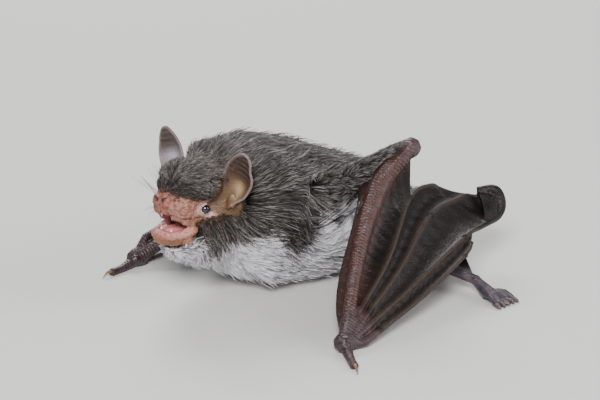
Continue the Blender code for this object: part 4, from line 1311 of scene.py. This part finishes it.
class Finish:
    """A material in the making: its nodes, its links and its shader."""

    def __init__(self, name, **inputs):
        self.material = bpy.data.materials.new(name)
        self.material.use_nodes = True
        self.tree = self.material.node_tree
        self.shader = self.tree.nodes["Principled BSDF"]
        self.feed(self.shader, **inputs)
        self.object_place = self.node("TexCoord").outputs["Object"]

    def put(self, socket, value):
        if isinstance(value, bpy.types.NodeSocket):
            self.tree.links.new(value, socket)
        else:
            socket.default_value = value

    def feed(self, node, **inputs):
        """Sets or links a node's inputs, written with _ where their names have a space."""
        for name, value in inputs.items():
            self.put(node.inputs[name.replace("_", " ")], value)
        return node

    def node(self, kind, **inputs):
        return self.feed(self.tree.nodes.new("ShaderNode" + kind), **inputs)

    def attribute(self, name, output="Fac"):
        made = self.node("Attribute")
        made.attribute_name = name
        return made.outputs[output]

    def noise(self, size, detail=4.0):
        """Noise whose lumps are this many millimetres."""
        made = self.node("TexNoise", Scale=1 / (size * MM), Detail=detail, Roughness=0.6)
        return self.feed(made, Vector=self.object_place).outputs["Fac"]

    def cells(self, size, feature="F1"):
        made = self.node("TexVoronoi", Scale=1 / (size * MM))
        made.feature = feature
        return self.feed(made, Vector=self.object_place).outputs["Distance"]

    def math(self, operation, first, *others):
        """Works through values from the left, two at a time."""
        for other in others:
            made = self.node("Math")
            made.operation = operation
            self.put(made.inputs[0], first)
            self.put(made.inputs[1], other)
            first = made.outputs[0]
        return first

    def sum(self, *values):
        return self.math("ADD", *values)

    def product(self, *values):
        return self.math("MULTIPLY", *values)

    def range(self, value, low, high, new_low, new_high):
        return self.node(
            "MapRange", Value=value, From_Min=low, From_Max=high, To_Min=new_low, To_Max=new_high
        ).outputs["Result"]

    def paint(self, colour, amount):
        """The shader's colour, made darker or lighter by an amount around 1."""
        made = self.node("VectorMath")
        made.operation = "SCALE"
        self.put(made.inputs[0], colour)
        self.feed(made, Scale=amount)
        self.feed(self.shader, Base_Color=made.outputs[0])

    def bump(self, height, distance, strength):
        made = self.node("Bump", Height=height, Strength=strength, Distance=distance * MM)
        self.feed(self.shader, Normal=made.outputs["Normal"])


def skin_finish():
    """Skin: granular on the face, cross-wrinkled on the arm, and finely creased on the wing."""
    finish = Finish("skin")
    wing, arm, face, wet, along = map(finish.attribute, ("wing", "arm", "face", "wet", "along_arm"))
    fine = finish.noise(0.35, 5.0)
    wobble = finish.sum(along, finish.range(finish.noise(1.6), 0, 1, -0.6, 0.6))
    folds = finish.math("SINE", finish.product(wobble, 11.0), 0.0)
    relief = finish.sum(
        finish.product(finish.cells(0.55, "DISTANCE_TO_EDGE"), 1.2, wing),
        finish.product(folds, 0.32, arm),
        finish.product(finish.cells(0.28), 1.2, face),
        finish.product(fine, 0.6),
    )
    finish.bump(relief, 0.11, 0.9)
    specks = finish.range(finish.cells(0.7), 0.12, 0.34, -0.3, 0.0)
    mottle = finish.sum(finish.range(fine, 0.3, 0.7, 0.82, 1.16), finish.product(specks, face))
    finish.paint(finish.attribute("tone", "Color"), mottle)
    roughness = finish.sum(
        finish.range(finish.sum(arm, finish.product(wing, 0.4)), 0, 1, 0.52, 0.38),
        finish.range(wet, 0, 1, 0.0, -0.2),
        finish.range(face, 0, 1, 0.0, -0.1),
    )
    level = finish.range(wing, 0, 1, 0.45, 0.26)
    finish.feed(finish.shader, Roughness=roughness, Specular_IOR_Level=level)
    return finish.material


def coat_finish():
    finish = Finish("coat", Roughness=0.62, Specular_IOR_Level=0.3)
    streak = finish.range(finish.noise(0.5, 3.0), 0.3, 0.7, 0.86, 1.12)
    finish.paint(finish.attribute("tone", "Color"), streak)
    return finish.material


def plain_finish(name, colour, roughness, grain, relief, **inputs):
    """One colour, mottled a little, with a fine relief of its own."""
    finish = Finish(name, Roughness=roughness, **inputs)
    base = finish.node("RGB").outputs[0]
    base.default_value = (*linear(*colour), 1.0)
    noise = finish.noise(grain)
    finish.paint(base, finish.range(noise, 0.25, 0.75, 0.8, 1.15))
    finish.bump(noise, relief, 0.6)
    return finish.material


# ---- floor, light and camera ----


def make_stage():
    bm = bmesh.new()
    bmesh.ops.create_grid(bm, x_segments=1, y_segments=1, size=0.9)
    floor = piece(bm, "floor")
    finish = Finish("floor", Roughness=0.85, Base_Color=(0.66, 0.65, 0.63, 1))
    floor.data.materials.append(finish.material)

    world = bpy.data.worlds.new("studio")
    bpy.context.scene.world = world
    world.use_nodes = True
    backdrop = world.node_tree.nodes["Background"]
    backdrop.inputs["Color"].default_value = (0.80, 0.82, 0.85, 1)
    backdrop.inputs["Strength"].default_value = 0.4
    for name, place, size, power in (
        ("key", (-0.30, -0.42, 0.42), 0.22, 5.4),
        ("fill", (0.45, -0.35, 0.28), 0.4, 2.2),
        ("rim", (0.15, 0.45, 0.40), 0.3, 3.2),
    ):
        lamp = bpy.data.lights.new(name, "AREA")
        lamp.size = size
        lamp.energy = power
        holder = linked(name, lamp)
        holder.location = place
        holder.rotation_euler = (-Vector(place)).to_track_quat("-Z", "Y").to_euler()


def make_camera():
    azimuth, elevation, distance = math.radians(-30.0), math.radians(20.0), 0.35
    aim = mm(-6.6, -10.0, 17.0)
    ahead = math.cos(elevation)
    back = Vector((math.sin(azimuth) * ahead, -math.cos(azimuth) * ahead, math.sin(elevation)))
    lens = bpy.data.cameras.new("camera")
    lens.lens = 126.0
    lens.sensor_width = 36.0
    lens.clip_start = 0.01
    camera = linked("camera", lens)
    camera.location = aim + back * distance
    camera.rotation_euler = back.to_track_quat("Z", "Y").to_euler()
    bpy.context.scene.camera = camera


def main():
    make_stage()
    make_camera()
    skin = make_skin()
    shares = paint_skin(skin)
    flesh = COAT_NODES + ARM_NODES + UPPER_NODES + FOOT_NODES + EAR_NODES + BONE_NODES + SHEET_NODES
    dress(skin, "face", skin_finish(), *flesh, "lower_jaw")
    make_coat(skin, shares, coat_finish())
    make_eyes(plain_finish("eye", (10, 8, 8), 0.06, 0.5, 0.0, Coat_Weight=1.0, Coat_Roughness=0.03))
    make_teeth(plain_finish("tooth", (236, 232, 220), 0.22, 0.4, 0.01))
    make_tongue(plain_finish("tongue", (214, 132, 130), 0.28, 0.3, 0.04))
    make_claws(plain_finish("claw", (120, 96, 74), 0.32, 0.4, 0.01))
    make_whiskers(plain_finish("whisker", (70, 62, 58), 0.5, 0.6, 0.0))


main()
